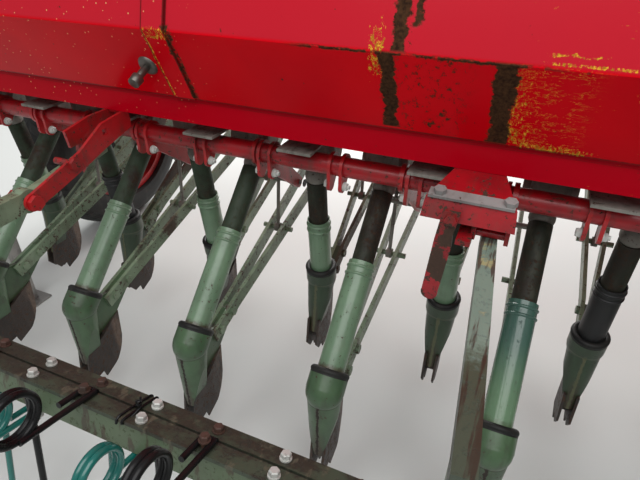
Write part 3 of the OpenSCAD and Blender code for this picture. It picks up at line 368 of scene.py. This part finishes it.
finishes = {"hopper_red": hopper_finish()}
print("hopper nodes:", len(finishes["hopper_red"].node_tree.nodes))

# %% [markdown]
# ## Old paint everywhere else
# Arms, boots, shafts and beams share one way of ageing: dull patches, dirt in streaks, pits where
# rust comes through, and a finish that is rougher where it is worn. One function makes them all
# and returns its fields as well, so that a finish can go on where this leaves off.

# %% Paint that has aged
def aged(name, colour, worn, rust_colour, dust, rough=0.35, specks=0.5, dirt=0.5, coat=0.0):
    """The fields of old paint: rough is its roughness, and specks the amount of rust pits."""
    material, shader, place = start_finish(name, Coat_Weight=coat, Coat_Roughness=0.2)
    patches = place.noise(14.0, detail=4.0)
    fine = place.noise(190.0, detail=3.0)
    streaks = place.stretched(1.0, 0.6, 0.25).noise(60.0, detail=5.0, roughness=0.6)
    pits = place.noise(120.0, detail=5.0, roughness=0.74)
    base = patches.rise(0.35, 0.68).mix(colour, worn)
    soiled = (streaks.rise(0.48, 0.72) * dirt).mix(base, dust)
    rusty = (pits + 0.22 * patches).rise(0.80 - 0.13 * specks, 0.835 - 0.13 * specks)
    brown = fine.mix([c * 0.35 for c in rust_colour], rust_colour)
    look = rusty.mix(soiled, brown)
    roughness = (patches * 0.25 + rough - 0.08 + fine * 0.08).higher(rusty * 0.8)
    relief = fine * 0.30 - rusty * 0.7 + streaks * 0.2
    return material, shader, place, {"look": look, "roughness": roughness, "relief": relief,
                                     "brown": brown, "patches": patches, "pits": pits,
                                     "fine": fine, "streaks": streaks}


def close(material, shader, parts, height=0.0010):
    feed(shader, Base_Color=parts["look"], Roughness=parts["roughness"],
         Normal=parts["relief"].bump(height, 0.6))
    return material


def plain_aged(name, *colours, **ways):
    material, shader, _, parts = aged(name, *colours, **ways)
    return close(material, shader, parts)


RUST = (0.075, 0.034, 0.018)
finishes["red_paint"] = plain_aged("red_paint", (0.46, 0.008, 0.012), (0.30, 0.008, 0.010), RUST,
                                   (0.085, 0.030, 0.022), rough=0.3, specks=0.75, dirt=0.6,
                                   coat=0.15)
finishes["grey_metal"] = plain_aged("grey_metal", (0.26, 0.245, 0.22), (0.155, 0.145, 0.125),
                                    RUST, (0.085, 0.072, 0.058), rough=0.6, specks=0.6,
                                    dirt=0.8)
finishes["black_rubber"] = plain_aged("black_rubber", (0.010, 0.010, 0.010), (0.020, 0.020, 0.019),
                                      (0.05, 0.035, 0.02), (0.035, 0.032, 0.027), rough=0.45,
                                      specks=0.1)
print("finishes so far:", len(finishes))

# %% [markdown]
# ## Boots, blades and arms
# Every boot has a ragged weld seam down its back, and is dark and rusty towards its end. The front
# row is painted darker, as painted shade, and its seams are pale. The pieces of one row share a
# node, so the seam is found by each point's distance from the nearest coulter: the sideways place
# is divided by the distance between coulters, and what is left after the nearest whole number is
# the distance to its middle.

# %% Green boots with a rusty seam
def off_centre(place, first):
    """Sideways distance from the nearest coulter of a row that starts at first."""
    steps = (place.axis("X") - first) / (2 * ROW)
    return (steps - (steps + 0.5).alone("FLOOR")) * (2 * ROW)


def boot_finish():
    material, shader, place, parts = aged(
        "boot_green", (0.064, 0.122, 0.058), (0.042, 0.084, 0.040), RUST, (0.040, 0.045, 0.028),
        rough=0.3, specks=0.55, dirt=0.6, coat=0.12)
    z = place.axis("Z")
    ragged = parts["pits"] - 0.5
    side = abs(off_centre(place, ROW_X[0])).lower(abs(off_centre(place, ROW_X[1])))
    seam = (side + ragged * 0.012).rise(0.0034, 0.0018) * z.rise(0.29, 0.28)
    seam_glow = (side + ragged * 0.020).rise(0.013, 0.003) * z.rise(0.25, 0.17) * 0.7
    low = (z + ragged * 0.10).rise(0.185, 0.135)
    line = z.between(0.281, 0.2835, 0.0008) * 0.5
    dark = parts["fine"].mix((0.010, 0.008, 0.007), (0.034, 0.023, 0.016))
    front_row = place.axis("Y").rise(-0.20, -0.15)
    # Painted shade: the boots of the front row are painted a darker green.
    look = (front_row * 0.75).mix(parts["look"], (0.020, 0.036, 0.019))
    look = (low * 0.92).mix(look, dark)
    look = seam_glow.mix(look, parts["brown"])
    seam_colour = front_row.mix((0.022, 0.014, 0.009), (0.095, 0.100, 0.055))
    parts["look"] = seam.higher(line).mix(look, seam_colour)
    parts["roughness"] = parts["roughness"].higher(low * 0.6).higher(seam * 0.85)
    parts["relief"] = parts["relief"] - seam * 1.2 - line
    return close(material, shader, parts)


finishes["boot_green"] = boot_finish()
print("boot nodes:", len(finishes["boot_green"].node_tree.nodes))

# %% Rust-brown blades with a worn nose
def steel_finish():
    material, shader, place, parts = aged(
        "rusty_steel", (0.034, 0.023, 0.018), (0.018, 0.014, 0.012), (0.085, 0.040, 0.022),
        (0.060, 0.042, 0.032), rough=0.42, specks=1.2, dirt=0.7)
    y, z = place.axis("Y"), place.axis("Z")
    nose = y.between(-0.352, -0.32, 0.008).higher(y.between(-0.063, -0.03, 0.008))
    worn = nose * z.rise(0.235, 0.20) * parts["streaks"].rise(0.35, 0.6)
    parts["look"] = (worn * 0.8).mix(parts["look"], (0.17, 0.115, 0.085))
    return close(material, shader, parts, height=0.0016)


finishes["rusty_steel"] = steel_finish()
print("steel nodes:", len(finishes["rusty_steel"].node_tree.nodes))

# %% Faded green arms
BEAM_Y, PLATE_DEPTH, GROOVE = (-0.73, -0.6475), 0.0053, (0.0235, 0.0265)
MIDDLE_ARM_X = (-0.035, 0.055)


def beam_look(look, place, parts, ragged):
    """The harrow beam: a darker tube, and a plate over it with earth, scrapes and a dark groove."""
    under = tilted(place, *BEAM_EDGE, *on_beam(0.0, -1.0))
    along = tilted(place, *BEAM_EDGE, *on_beam(1.0, 0.0))
    beam = place.axis("Y").between(*BEAM_Y, 0.001) * place.axis("Z").rise(0.505, 0.49)
    plate = beam * under.rise(PLATE_DEPTH + 0.0003, PLATE_DEPTH - 0.0003)
    tube = beam * under.rise(PLATE_DEPTH - 0.0003, PLATE_DEPTH + 0.0003)
    weathered = (place.stretched(0.5, 1.0, 1.0).noise(26.0, detail=6.0, roughness=0.7)
                 + ragged * 0.35)
    earth = parts["fine"].mix((0.008, 0.007, 0.005), (0.046, 0.035, 0.023))
    groove = (along + ragged * 0.004).between(*GROOVE, 0.001)
    look = (tube * 0.85).mix(look, (0.080, 0.115, 0.058))
    look = (plate * 0.9).mix(look, (0.034, 0.043, 0.026))
    look = (plate * weathered.rise(0.40, 0.58) * 0.92).mix(look, earth)
    look = (plate * parts["streaks"].rise(0.57, 0.66) * 0.6).mix(look, (0.120, 0.105, 0.070))
    look = (plate * groove).mix(look, (0.006, 0.006, 0.005))
    look = (tube * (under + ragged * 0.012).rise(0.010, 0.0055) * 0.8).mix(look, earth)
    look = (tube * parts["streaks"].rise(0.56, 0.62) * 0.7).mix(look, parts["brown"])
    return look, plate, weathered


def middle_arm_look(look, place, parts, ragged):
    """The middle harrow arm: painted highlights, pale blue-green and yellow; long scratches; a
    dirty rear end.
    """
    y = place.axis("Y")
    middle = (place.axis("X").between(*MIDDLE_ARM_X) * place.axis("Z").rise(0.56, 0.565)
              * y.rise(-0.26, -0.28))
    long_way = place.stretched(1.0, 0.10, 1.0).noise(75.0, detail=4.0, roughness=0.6)
    highlight_patches = (parts["patches"] + ragged * 0.4).rise(0.60, 0.66) * y.rise(-0.52, -0.44)
    rear_end = (y + ragged * 0.10).rise(-0.52, -0.575)
    # Painted highlights: the arm is painted a paler blue-green, and yellow in patches.
    look = (middle * 0.8).mix(look, (0.190, 0.265, 0.225))
    look = (middle * highlight_patches * 0.8).mix(look, (0.42, 0.37, 0.17))
    look = (middle * long_way.rise(0.58, 0.64) * 0.85).mix(look, (0.055, 0.030, 0.024))
    look = (middle * rear_end * 0.9).mix(look, (0.040, 0.050, 0.028))
    scraped = long_way.rise(0.53, 0.60) * y.rise(-0.50, -0.54)
    return (middle * scraped * 0.8).mix(look, (0.036, 0.022, 0.014))


def arm_finish():
    material, shader, place, parts = aged(
        "green_paint", (0.205, 0.275, 0.180), (0.125, 0.180, 0.110), RUST, (0.085, 0.070, 0.045),
        rough=0.33, specks=0.9, dirt=0.55, coat=0.1)
    ragged = parts["pits"] - 0.5
    look, plate, weathered = beam_look(parts["look"], place, parts, ragged)
    look = middle_arm_look(look, place, parts, ragged)
    coulter_arm = place.axis("Z").rise(0.505, 0.50) * place.axis("Y").rise(-0.40, -0.38)
    bare_arm = coulter_arm * (place.stretched(0.9, 0.35, 0.35).noise(9.0, detail=2.0)
                              + ragged * 0.15).rise(0.60, 0.64)
    parts["look"] = (bare_arm * 0.9).mix(look, parts["brown"])
    parts["roughness"] = parts["roughness"].higher(plate * 0.6).higher(bare_arm * 0.75)
    parts["relief"] = parts["relief"] + plate * weathered * 1.2
    return close(material, shader, parts)


finishes["green_paint"] = arm_finish()
print("arm nodes:", len(finishes["green_paint"].node_tree.nodes))

# %% [markdown]
# ## Seed tubes
# The lower tubes are steel in faded green, scratched along their length where the upper tubes and
# straw slid past them. One has been repainted in a glossier green, and two have been exchanged for
# black plastic ones. The upper tubes are nearly bare: dark brown with a green-black sheen.

# %% Lower and upper tubes
REPAINTED_X, PLASTIC_LEFT_X, PLASTIC_RIGHT_X = (0.040, 0.100), (-0.940, -0.868), (0.175, 0.241)


def tube_finish():
    material, shader, place, parts = aged(
        "tube_green", (0.148, 0.242, 0.148), (0.116, 0.196, 0.118), RUST, (0.100, 0.125, 0.080),
        rough=0.24, specks=0.45, dirt=0.35)
    x, y = place.axis("X"), place.axis("Y")
    down = tilted(place, *OUTLET, *REAR_COLLAR)
    across = place.node("ShaderNodeCombineXYZ", {0: x, 1: y * 0.35, 2: down * 0.06})
    scratches = across.noise(240.0, detail=4.0, roughness=0.62)
    ragged = parts["pits"] - 0.5
    look = (scratches.rise(0.66, 0.70) * 0.8).mix(parts["look"], (0.050, 0.045, 0.030))
    look = (scratches.rise(0.32, 0.28) * 0.5).mix(look, (0.30, 0.40, 0.29))
    rear = y.rise(-0.15, -0.17)
    foot = rear * (down + ragged * 0.02).rise(0.334, 0.345)
    look = (foot * 0.8).mix(look, parts["brown"])
    repainted = x.between(*REPAINTED_X) * rear
    look = (repainted * down.rise(0.33, 0.20) * 0.85).mix(look, (0.028, 0.085, 0.072))
    look = (repainted * down.rise(0.20, 0.33) * 0.5).mix(look, (0.105, 0.215, 0.110))
    plastic = x.between(*PLASTIC_LEFT_X).higher(x.between(*PLASTIC_RIGHT_X)) * y.rise(-0.16, -0.14)
    parts["look"] = plastic.mix(look, (0.010, 0.010, 0.011))
    parts["relief"] = parts["relief"] * (1.0 - plastic) - scratches.rise(0.66, 0.70) * 0.3
    parts["roughness"] = (parts["roughness"] - repainted * 0.12).higher(plastic * 0.5)
    feed(shader, Coat_Weight=(1.0 - plastic) * 0.3)
    return close(material, shader, parts)


def upper_tube_finish():
    material, shader, place, parts = aged(
        "tube_dark", (0.018, 0.022, 0.014), (0.024, 0.016, 0.012), (0.060, 0.034, 0.020),
        (0.044, 0.046, 0.032), rough=0.5, specks=1.0, dirt=0.8)
    greener = place.axis("X").rise(-0.30, -0.60) * parts["patches"].rise(0.70, 0.45) * 0.8
    parts["look"] = greener.mix(parts["look"], (0.040, 0.066, 0.040))
    return close(material, shader, parts)


finishes["tube_green"] = tube_finish()
finishes["tube_dark"] = upper_tube_finish()
print("tube nodes:", len(finishes["tube_green"].node_tree.nodes))

# %% [markdown]
# ## Steel, enamel and tyres
# The tines are glossy black or teal, new enough to shine. The tread of a tyre is a pattern round
# the axle: the angle comes from the two coordinates across the axle, and a saw of that angle,
# swept back with the distance from the middle, gives slanting bars that bump turns into relief.

# %% Glossy tines and worn steel
finishes["dark_steel"] = plain_aged("dark_steel", (0.006, 0.006, 0.007), (0.010, 0.010, 0.010),
                                    (0.03, 0.02, 0.015), (0.016, 0.016, 0.015), rough=0.2,
                                    specks=-0.4, dirt=0.4)
finishes["teal_paint"] = plain_aged("teal_paint", (0.003, 0.150, 0.125), (0.003, 0.115, 0.098),
                                    (0.05, 0.03, 0.02), (0.010, 0.085, 0.072), rough=0.16,
                                    specks=0.15, dirt=0.3, coat=0.5)
for dull in ("dark_steel", "black_rubber", "tube_dark"):
    dull_shader = finishes[dull].node_tree.nodes["Principled BSDF"]
    dull_shader.inputs["Specular IOR Level"].default_value = 0.25


def metal(name, colour, worn, rough, shine):
    material, shader, _, parts = aged(name, colour, worn, RUST, [c * 0.5 for c in colour],
                                      rough=rough, specks=0.35, dirt=0.6)
    rusty = parts["pits"].rise(0.62, 0.70)
    feed(shader, Metallic=(1.0 - rusty) * shine)
    return close(material, shader, parts, height=0.0006)


finishes["bare_steel"] = metal("bare_steel", (0.42, 0.41, 0.39), (0.27, 0.26, 0.25), 0.36, 0.8)
finishes["spring_steel"] = metal("spring_steel", (0.17, 0.16, 0.145), (0.08, 0.072, 0.06), 0.3,
                                 0.85)
finishes["new_zinc"] = metal("new_zinc", (0.66, 0.67, 0.64), (0.46, 0.46, 0.43), 0.42, 0.25)
finishes["rusty_bolt"] = plain_aged("rusty_bolt", (0.080, 0.036, 0.026), (0.045, 0.027, 0.020),
                                    (0.12, 0.050, 0.026), (0.035, 0.028, 0.022), rough=0.6,
                                    specks=1.0, dirt=0.6)
finishes["strip_grey"] = plain_aged("strip_grey", (0.285, 0.275, 0.270), (0.20, 0.19, 0.185),
                                    RUST, (0.15, 0.125, 0.11), rough=0.4, specks=0.4, dirt=0.5)
print("finishes so far:", len(finishes))

# %% Tyre rubber with a tread
def tyre_finish():
    material, shader, place, parts = aged(
        "tyre_rubber", (0.014, 0.014, 0.014), (0.024, 0.023, 0.022), (0.05, 0.04, 0.03),
        (0.055, 0.050, 0.042), rough=0.6, specks=0.0, dirt=0.6)
    lugs_round, sweep = 40, 11.0
    off_middle = abs(abs(place.axis("X")) - WHEEL_X)
    y, z = place.axis("Y") - AXLE_Y, place.axis("Z") - AXLE_Z
    angle = y.math("ARCTAN2", y, z)
    from_axle = (y * y + z * z).alone("SQRT")
    bars = (angle * (lugs_round / (2 * math.pi)) + off_middle * sweep).alone("FRACT")
    lug = bars.between(0.22, 0.72, 0.05) * off_middle.rise(0.004, 0.008)
    tread = from_axle.rise(0.296, 0.300)
    groove = tread * (1.0 - lug)
    # Painted shade: the grooves between the lugs of the tread are painted darker.
    parts["look"] = (groove * 0.6).mix(parts["look"], (0.006, 0.006, 0.006))
    rings = (from_axle * 260.0).alone("SINE") * (1.0 - tread) * 0.15
    parts["relief"] = parts["relief"] * 0.2 + tread * lug * 4.0 + rings
    return close(material, shader, parts, height=0.0025)


finishes["tyre_rubber"] = tyre_finish()
print("tyre nodes:", len(finishes["tyre_rubber"].node_tree.nodes))

# %% Flaking red of the hanging link and the brackets
def flaking_red(name, amount):
    material, shader, place, parts = aged(
        name, (0.38, 0.004, 0.010), (0.24, 0.004, 0.008), RUST, (0.10, 0.035, 0.025),
        rough=0.3, specks=0.8, dirt=0.5, coat=0.15)
    flakes = (place.noise(26.0, detail=5.0, roughness=0.6) + (parts["pits"] - 0.5) * 0.25)
    bare = flakes.rise(amount, amount + 0.02)
    parts["look"] = bare.mix(parts["look"], parts["brown"])
    parts["roughness"] = parts["roughness"].higher(bare * 0.8)
    parts["relief"] = parts["relief"] - bare * 0.8
    return close(material, shader, parts)


finishes["link_red"] = flaking_red("link_red", 0.47)
finishes["bracket_red"] = flaking_red("bracket_red", 0.66)
print("finishes:", len(finishes))

# %% Give every piece its finish
slots = {part["node"]: part["material_slot"] for part in frame["record"]["subparts"]}
special = {"spring_rods": "grey_metal", "hanging_link": "link_red",
           "bracket_strip": "strip_grey", "harrow_bracket_centre": "bracket_red",
           "pressure_shaft_rear": "bracket_red"}
for name, piece in nodes.items():
    piece.data.materials.clear()
    piece.data.materials.append(finishes[special.get(name, slots[name])])
print("dressed:", len(nodes))

# %% [markdown]
# ## Making a fitting
# New pieces are built in one bmesh, finished, and told which body of the drill they ride on. Many
# small fittings go into one mesh, because a hundred loose bolts are a hundred objects to handle.

# %% From a bmesh to a piece that rides
WASHER = 0.0018


def add_piece(name, shape, body, finish, smooth=True):
    bmesh.ops.recalc_face_normals(shape, faces=shape.faces)
    mesh = bpy.data.meshes.new(name)
    shape.to_mesh(mesh)
    shape.free()
    if smooth:
        mesh.shade_smooth()
        mesh.set_sharp_from_angle(angle=math.radians(35))
    mesh.materials.append(finishes[finish])
    piece = bpy.data.objects.new(name, mesh)
    bpy.context.scene.collection.objects.link(piece)
    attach(piece, body)
    print(name, "faces:", len(mesh.polygons))
    return piece


def facing(place, toward):
    """A matrix that puts a shape's Z axis along toward, at a place."""
    turn = Vector(toward).to_track_quat("Z", "Y").to_matrix().to_4x4()
    return Matrix.Translation(place) @ turn


def disc(shape, where, start, end, radius, end_radius=None, sides=20):
    """A round or hexagonal slab from start to end along the Z axis of where."""
    bmesh.ops.create_cone(shape, cap_ends=True, segments=sides, radius1=radius,
                          radius2=radius if end_radius is None else end_radius,
                          depth=end - start,
                          matrix=where @ Matrix.Translation((0, 0, (start + end) / 2)))


def bolt(shape, where, across, height, stub=0.0):
    """A washer, a chamfered hexagon and the end of the thread, standing on the XY plane."""
    radius = across / math.sqrt(3)
    foot, chamfer, top = WASHER, WASHER + height * 0.8, WASHER + height
    disc(shape, where, 0.0, foot, radius * 1.15)
    disc(shape, where, foot, chamfer, radius, sides=6)
    disc(shape, where, chamfer, top, radius, radius * 0.82, sides=6)
    if stub:
        disc(shape, where, top, top + stub, radius * 0.5, sides=12)


def to_middle(x):
    """The direction along X in which the drill's middle lies."""
    return -1 if x > 0 else 1


print("helpers: add_piece, facing, disc, bolt, to_middle")

# %% [markdown]
# ## Pressure springs
# A real spring shows its turns and lets light through between them, which the construction
# model's sleeve can't. A ring of eight points is spun about the rod while it climbs: bmesh's spin
# takes a step of travel as well as an angle, so a spin with travel is a helix.

# %% Springs on their rods
SPRING = {"turns": 6, "steps": 14, "wire": 0.0019, "radius": 0.0098, "length": 0.058}
SPRING_OVER_TRUNNION = 0.0075


def arm_height(collar, y):
    """Height of a drag arm's line at y, from its foot before the collar to its pivot."""
    foot = (collar[0] + 0.056, collar[1] - 0.046)
    return foot[1] + (ARM_PIVOT[1] - foot[1]) * (y - foot[0]) / (ARM_PIVOT[0] - foot[0])


springs = bmesh.new()
for rows, collar, rod_y, trunnion in ((REAR_ROWS, REAR_COLLAR, -0.040, REAR_TRUNNION),
                                      (FRONT_ROWS, FRONT_COLLAR, 0.167, FRONT_TRUNNION)):
    low = Vector((0.0, rod_y, arm_height(collar, rod_y)))
    up = (Vector((0.0, *trunnion)) - low).normalized()
    foot = Vector((0.0, *trunnion)) + up * SPRING_OVER_TRUNNION
    for x in rows:
        where = facing(foot + Vector((x, 0, 0)), up)
        ring = bmesh.ops.create_circle(
            springs, segments=8, radius=SPRING["wire"],
            matrix=where @ Matrix.Translation((SPRING["radius"], 0, SPRING["wire"]))
            @ Matrix.Rotation(math.pi / 2, 4, "X"))
        edges = list({edge for vert in ring["verts"] for edge in vert.link_edges})
        steps = SPRING["turns"] * SPRING["steps"]
        bmesh.ops.spin(springs, geom=edges, cent=where.translation, axis=up,
                       dvec=up * ((SPRING["length"] - 2 * SPRING["wire"]) / steps),
                       angle=2 * math.pi * SPRING["turns"], steps=steps)
bmesh.ops.holes_fill(springs, edges=[e for e in springs.edges if e.is_boundary], sides=8)
spring_piece = add_piece("springs", springs, "chassis", "spring_steel")
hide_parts("pressure_springs")

# %% [markdown]
# ## Bolts on the harrow beam
# Each tine is clamped by two bolts through the beam, one before and one behind the groove. The
# black tines still have their old rusty ones, whose rear heads stand a little off the plate. The
# teal tines were fitted later, with bright bolts and with nuts on the underside.

# %% Old and new bolts
BEHIND_GROOVE, BEFORE_GROOVE = 0.011, 0.039
STANDS_OUT = 0.0086
BEAM_UNDERSIDE, UNDERSIDE_SHANK = -0.0545, 0.0095
SHANK_RADIUS, BOLT_OFF_TINE = 0.0034, 0.0035
beam_up = Vector((0.0, math.sin(BEAM_TILT), math.cos(BEAM_TILT)))
old_bolts, new_bolts = bmesh.new(), bmesh.new()
for x, black in TINES:
    middle = x - BOLT_OFF_TINE
    for forward in (BEHIND_GROOVE, BEFORE_GROOVE):
        raised = STANDS_OUT if black and forward == BEHIND_GROOVE else 0.0
        where = facing((middle, *on_beam(forward, raised)), beam_up)
        bolt(old_bolts if black else new_bolts, where, across=0.0108, height=0.0065)
        if raised:
            disc(old_bolts, where, -raised, 0.0, SHANK_RADIUS)
        if not black:
            where = facing((middle, *on_beam(forward, BEAM_UNDERSIDE)), -beam_up)
            bolt(new_bolts, where, across=0.015, height=0.008, stub=0.004)
            disc(new_bolts, where, -UNDERSIDE_SHANK, 0.0, SHANK_RADIUS)
add_piece("beam_bolts_old", old_bolts, "harrow", "rusty_bolt", smooth=False)
add_piece("beam_bolts_new", new_bolts, "harrow", "new_zinc", smooth=False)

# %% [markdown]
# ## Nuts on the pressure gear
# Each pair of pear-shaped ears on the rear shaft holds a bolt with a bright head and nut, which
# hangs a little to the rear as the ears do. The rear levers have a dark washer at their spring
# rods.

# %% Zinc nuts and dark washers
EARS_OFF_ROW, EAR_FACE, WASHER_OFF_ROW = 0.072, 0.0141, 0.0652
zinc, washers = bmesh.new(), bmesh.new()
for x in ROW_X[:NO_EARS] + ROW_X[NO_EARS + 1:]:
    ears = x + to_middle(x) * EARS_OFF_ROW
    for side in (-1, 1):
        where = facing((ears + side * EAR_FACE, *EAR_BOLT), (side, 0, 0))
        bolt(zinc, where, across=0.013, height=0.006, stub=0.004 if side > 0 else 0.0)
for x in REAR_ROWS:
    where = facing((x + to_middle(x) * WASHER_OFF_ROW, *REAR_TRUNNION), (to_middle(x), 0, 0))
    disc(washers, where, 0.0, 0.002, radius=0.009)
add_piece("ear_nuts", zinc, "chassis", "new_zinc", smooth=False)
add_piece("trunnion_washers", washers, "chassis", "dark_steel")

# %% [markdown]
# ## The steel knob on the hopper
# Beside the flat strap a round-headed bolt stands out of the wall, with a wide disc at the wall
# and a heavy end. It is a small turned piece: three discs on the wall's own normal, each with its
# edge broken by a bevel.

# %% A turned knob
wall_out = Vector((0.0, -0.899, -0.438))
knob_foot = Vector((-0.588, -0.2785, 0.7735))
knob = bmesh.new()
where = facing(knob_foot, wall_out)
disc(knob, where, 0.0, 0.005, 0.0185, 0.014, sides=28)
disc(knob, where, 0.005, 0.034, 0.0062, sides=20)
disc(knob, where, 0.030, 0.046, 0.0105, 0.0095, sides=24)
rims = [edge for edge in knob.edges if len(edge.link_faces) == 2
        and any(len(face.verts) > 4 for face in edge.link_faces)]
bmesh.ops.bevel(knob, geom=rims, offset=0.0012, offset_type="OFFSET", segments=2, profile=0.5,
                affect="EDGES", material=-1)
add_piece("hopper_knob", knob, "chassis", "spring_steel")

# %% [markdown]
# ## Wire round the harrow beam
# Two turns of black wire are twisted round the beam's cover plate in a few places. A wire is a
# curve with a round bevel, turned into a mesh. Its points run over the plate and back, down over
# both of its edges, and end in a short twist on top.

# %% Wire ties
TIES_X = (-0.345, -0.735, 0.52)
WIRE_SLANT, TWIST_RADIUS = 0.12, 0.0035


def wire_tie(name, x):
    path = bpy.data.curves.new(name, "CURVE")
    path.dimensions = "3D"
    path.bevel_depth = 0.0016
    path.bevel_resolution = 2
    path.resolution_u = 4
    corners = [(-0.0018, -0.006), (-0.0018, 0.0018), (0.012, 0.0022), (0.026, 0.0024),
               (0.040, 0.0022), (0.0528, 0.0018), (0.0528, -0.006)]
    points = []
    for turn, ordered in ((-1, corners), (1, corners[::-1])):
        points += [(x + turn * 0.004 + WIRE_SLANT * forward, *on_beam(forward, up))
                   for forward, up in ordered]
    for quarter in range(10):
        angle = quarter * math.pi / 2
        points.append((x + 0.006 + TWIST_RADIUS * math.cos(angle),
                       *on_beam(0.024 + TWIST_RADIUS * math.sin(angle), 0.004 + 0.0012 * quarter)))
    line = path.splines.new("NURBS")
    line.points.add(len(points) - 1)
    for point, spot in zip(line.points, points):
        point.co = (*spot, 1.0)
    line.use_endpoint_u = True
    line.order_u = 3
    curve = bpy.data.objects.new(name + "_curve", path)
    bpy.context.scene.collection.objects.link(curve)
    mesh = bpy.data.meshes.new_from_object(curve)
    bpy.data.objects.remove(curve)
    shape = bmesh.new()
    shape.from_mesh(mesh)
    bmesh.ops.remove_doubles(shape, verts=shape.verts, dist=0.00005)
    bmesh.ops.holes_fill(shape, edges=[e for e in shape.edges if e.is_boundary], sides=0)
    add_piece(name, shape, "harrow", "dark_steel")


for number, x in enumerate(TIES_X, start=1):
    wire_tie(f"wire_tie_{number}", x)

# %% [markdown]
# ## Bolts of the frame
# The side plates are bolted on at the ends of the beams and of the hopper, the spindles at the
# corners of their flanges, and the gearbox's cover round its edge. Each place is a pair: how far
# forward of the axle, and how high above the floor.

# %% Frame bolts
PLATE_X, FLANGE_X, COVER_X = 1.236, 1.248, -1.2561
PLATE_BOLTS = [(0.300, 0.590), (0.360, 0.590), (0.300, 0.530), (0.360, 0.530), (0.100, 0.520),
               (0.140, 0.480), (-0.050, 0.790), (-0.250, 0.800)]
FLANGE_BOLTS = [(y, AXLE_Z + z) for z in (-0.042, 0.042) for y in (-0.042, 0.042)]
COVER_BOLTS = [(-0.358, 0.80), (-0.466, 0.80), (-0.466, 0.72)]
frame_bolts = bmesh.new()
for face_x, bolts, across, height in (
        (-PLATE_X, PLATE_BOLTS, 0.019, 0.009), (-FLANGE_X, FLANGE_BOLTS, 0.017, 0.008),
        (PLATE_X, PLATE_BOLTS, 0.019, 0.009), (FLANGE_X, FLANGE_BOLTS, 0.017, 0.008),
        (COVER_X, COVER_BOLTS, 0.013, 0.006)):
    for forward, z in bolts:
        where = facing((face_x, AXLE_Y + forward, z), (math.copysign(1, face_x), 0, 0))
        bolt(frame_bolts, where, across, height)
add_piece("frame_bolts", frame_bolts, "chassis", "rusty_bolt", smooth=False)

# %% [markdown]
# ## Floor and light
# The floor is pale and plain. Daylight comes from a big window in front of the drill, so the
# coulters throw soft shadows towards the camera, and a broad lamp above keeps the red readable.

# %% Floor
FLOOR_HALF = 14.0
floor_mesh = bmesh.new()
bmesh.ops.create_grid(floor_mesh, x_segments=1, y_segments=1, size=FLOOR_HALF)
floor_data = bpy.data.meshes.new("floor")
floor_mesh.to_mesh(floor_data)
floor_mesh.free()
floor = bpy.data.objects.new("floor", floor_data)
bpy.context.scene.collection.objects.link(floor)
floor_finish, floor_shader, _ = start_finish("floor", Roughness=0.8)
floor_shader.inputs["Base Color"].default_value = (0.62, 0.64, 0.63, 1.0)
floor_data.materials.append(floor_finish)
print("floor is a stage of", 2 * FLOOR_HALF, "m")

# %% Lamps and world
def lamp(name, place, aim, size, power, colour=(1.0, 1.0, 1.0)):
    data = bpy.data.lights.new(name, "AREA")
    data.shape = "RECTANGLE"
    data.size, data.size_y = size
    data.energy = power
    data.color = colour
    made = bpy.data.objects.new(name, data)
    look = (Vector(aim) - Vector(place)).to_track_quat("-Z", "Y").to_matrix().to_4x4()
    made.matrix_world = Matrix.Translation(place) @ look
    bpy.context.scene.collection.objects.link(made)


lamp("front_window", (-1.2, 3.6, 2.3), aim=(0.0, 0.0, 0.3), size=(2.4, 1.2), power=245.0,
     colour=(1.0, 0.99, 0.97))
lamp("overhead", (0.3, -1.6, 3.0), aim=(0.0, 0.0, 0.5), size=(3.5, 2.5), power=80.0)
world = bpy.data.worlds.new("studio")
world.use_nodes = True
world.node_tree.nodes["Background"].inputs["Color"].default_value = (1.0, 1.0, 1.0, 1.0)
world.node_tree.nodes["Background"].inputs["Strength"].default_value = 0.35
bpy.context.scene.world = world
print("lamps:", len(bpy.data.lights))
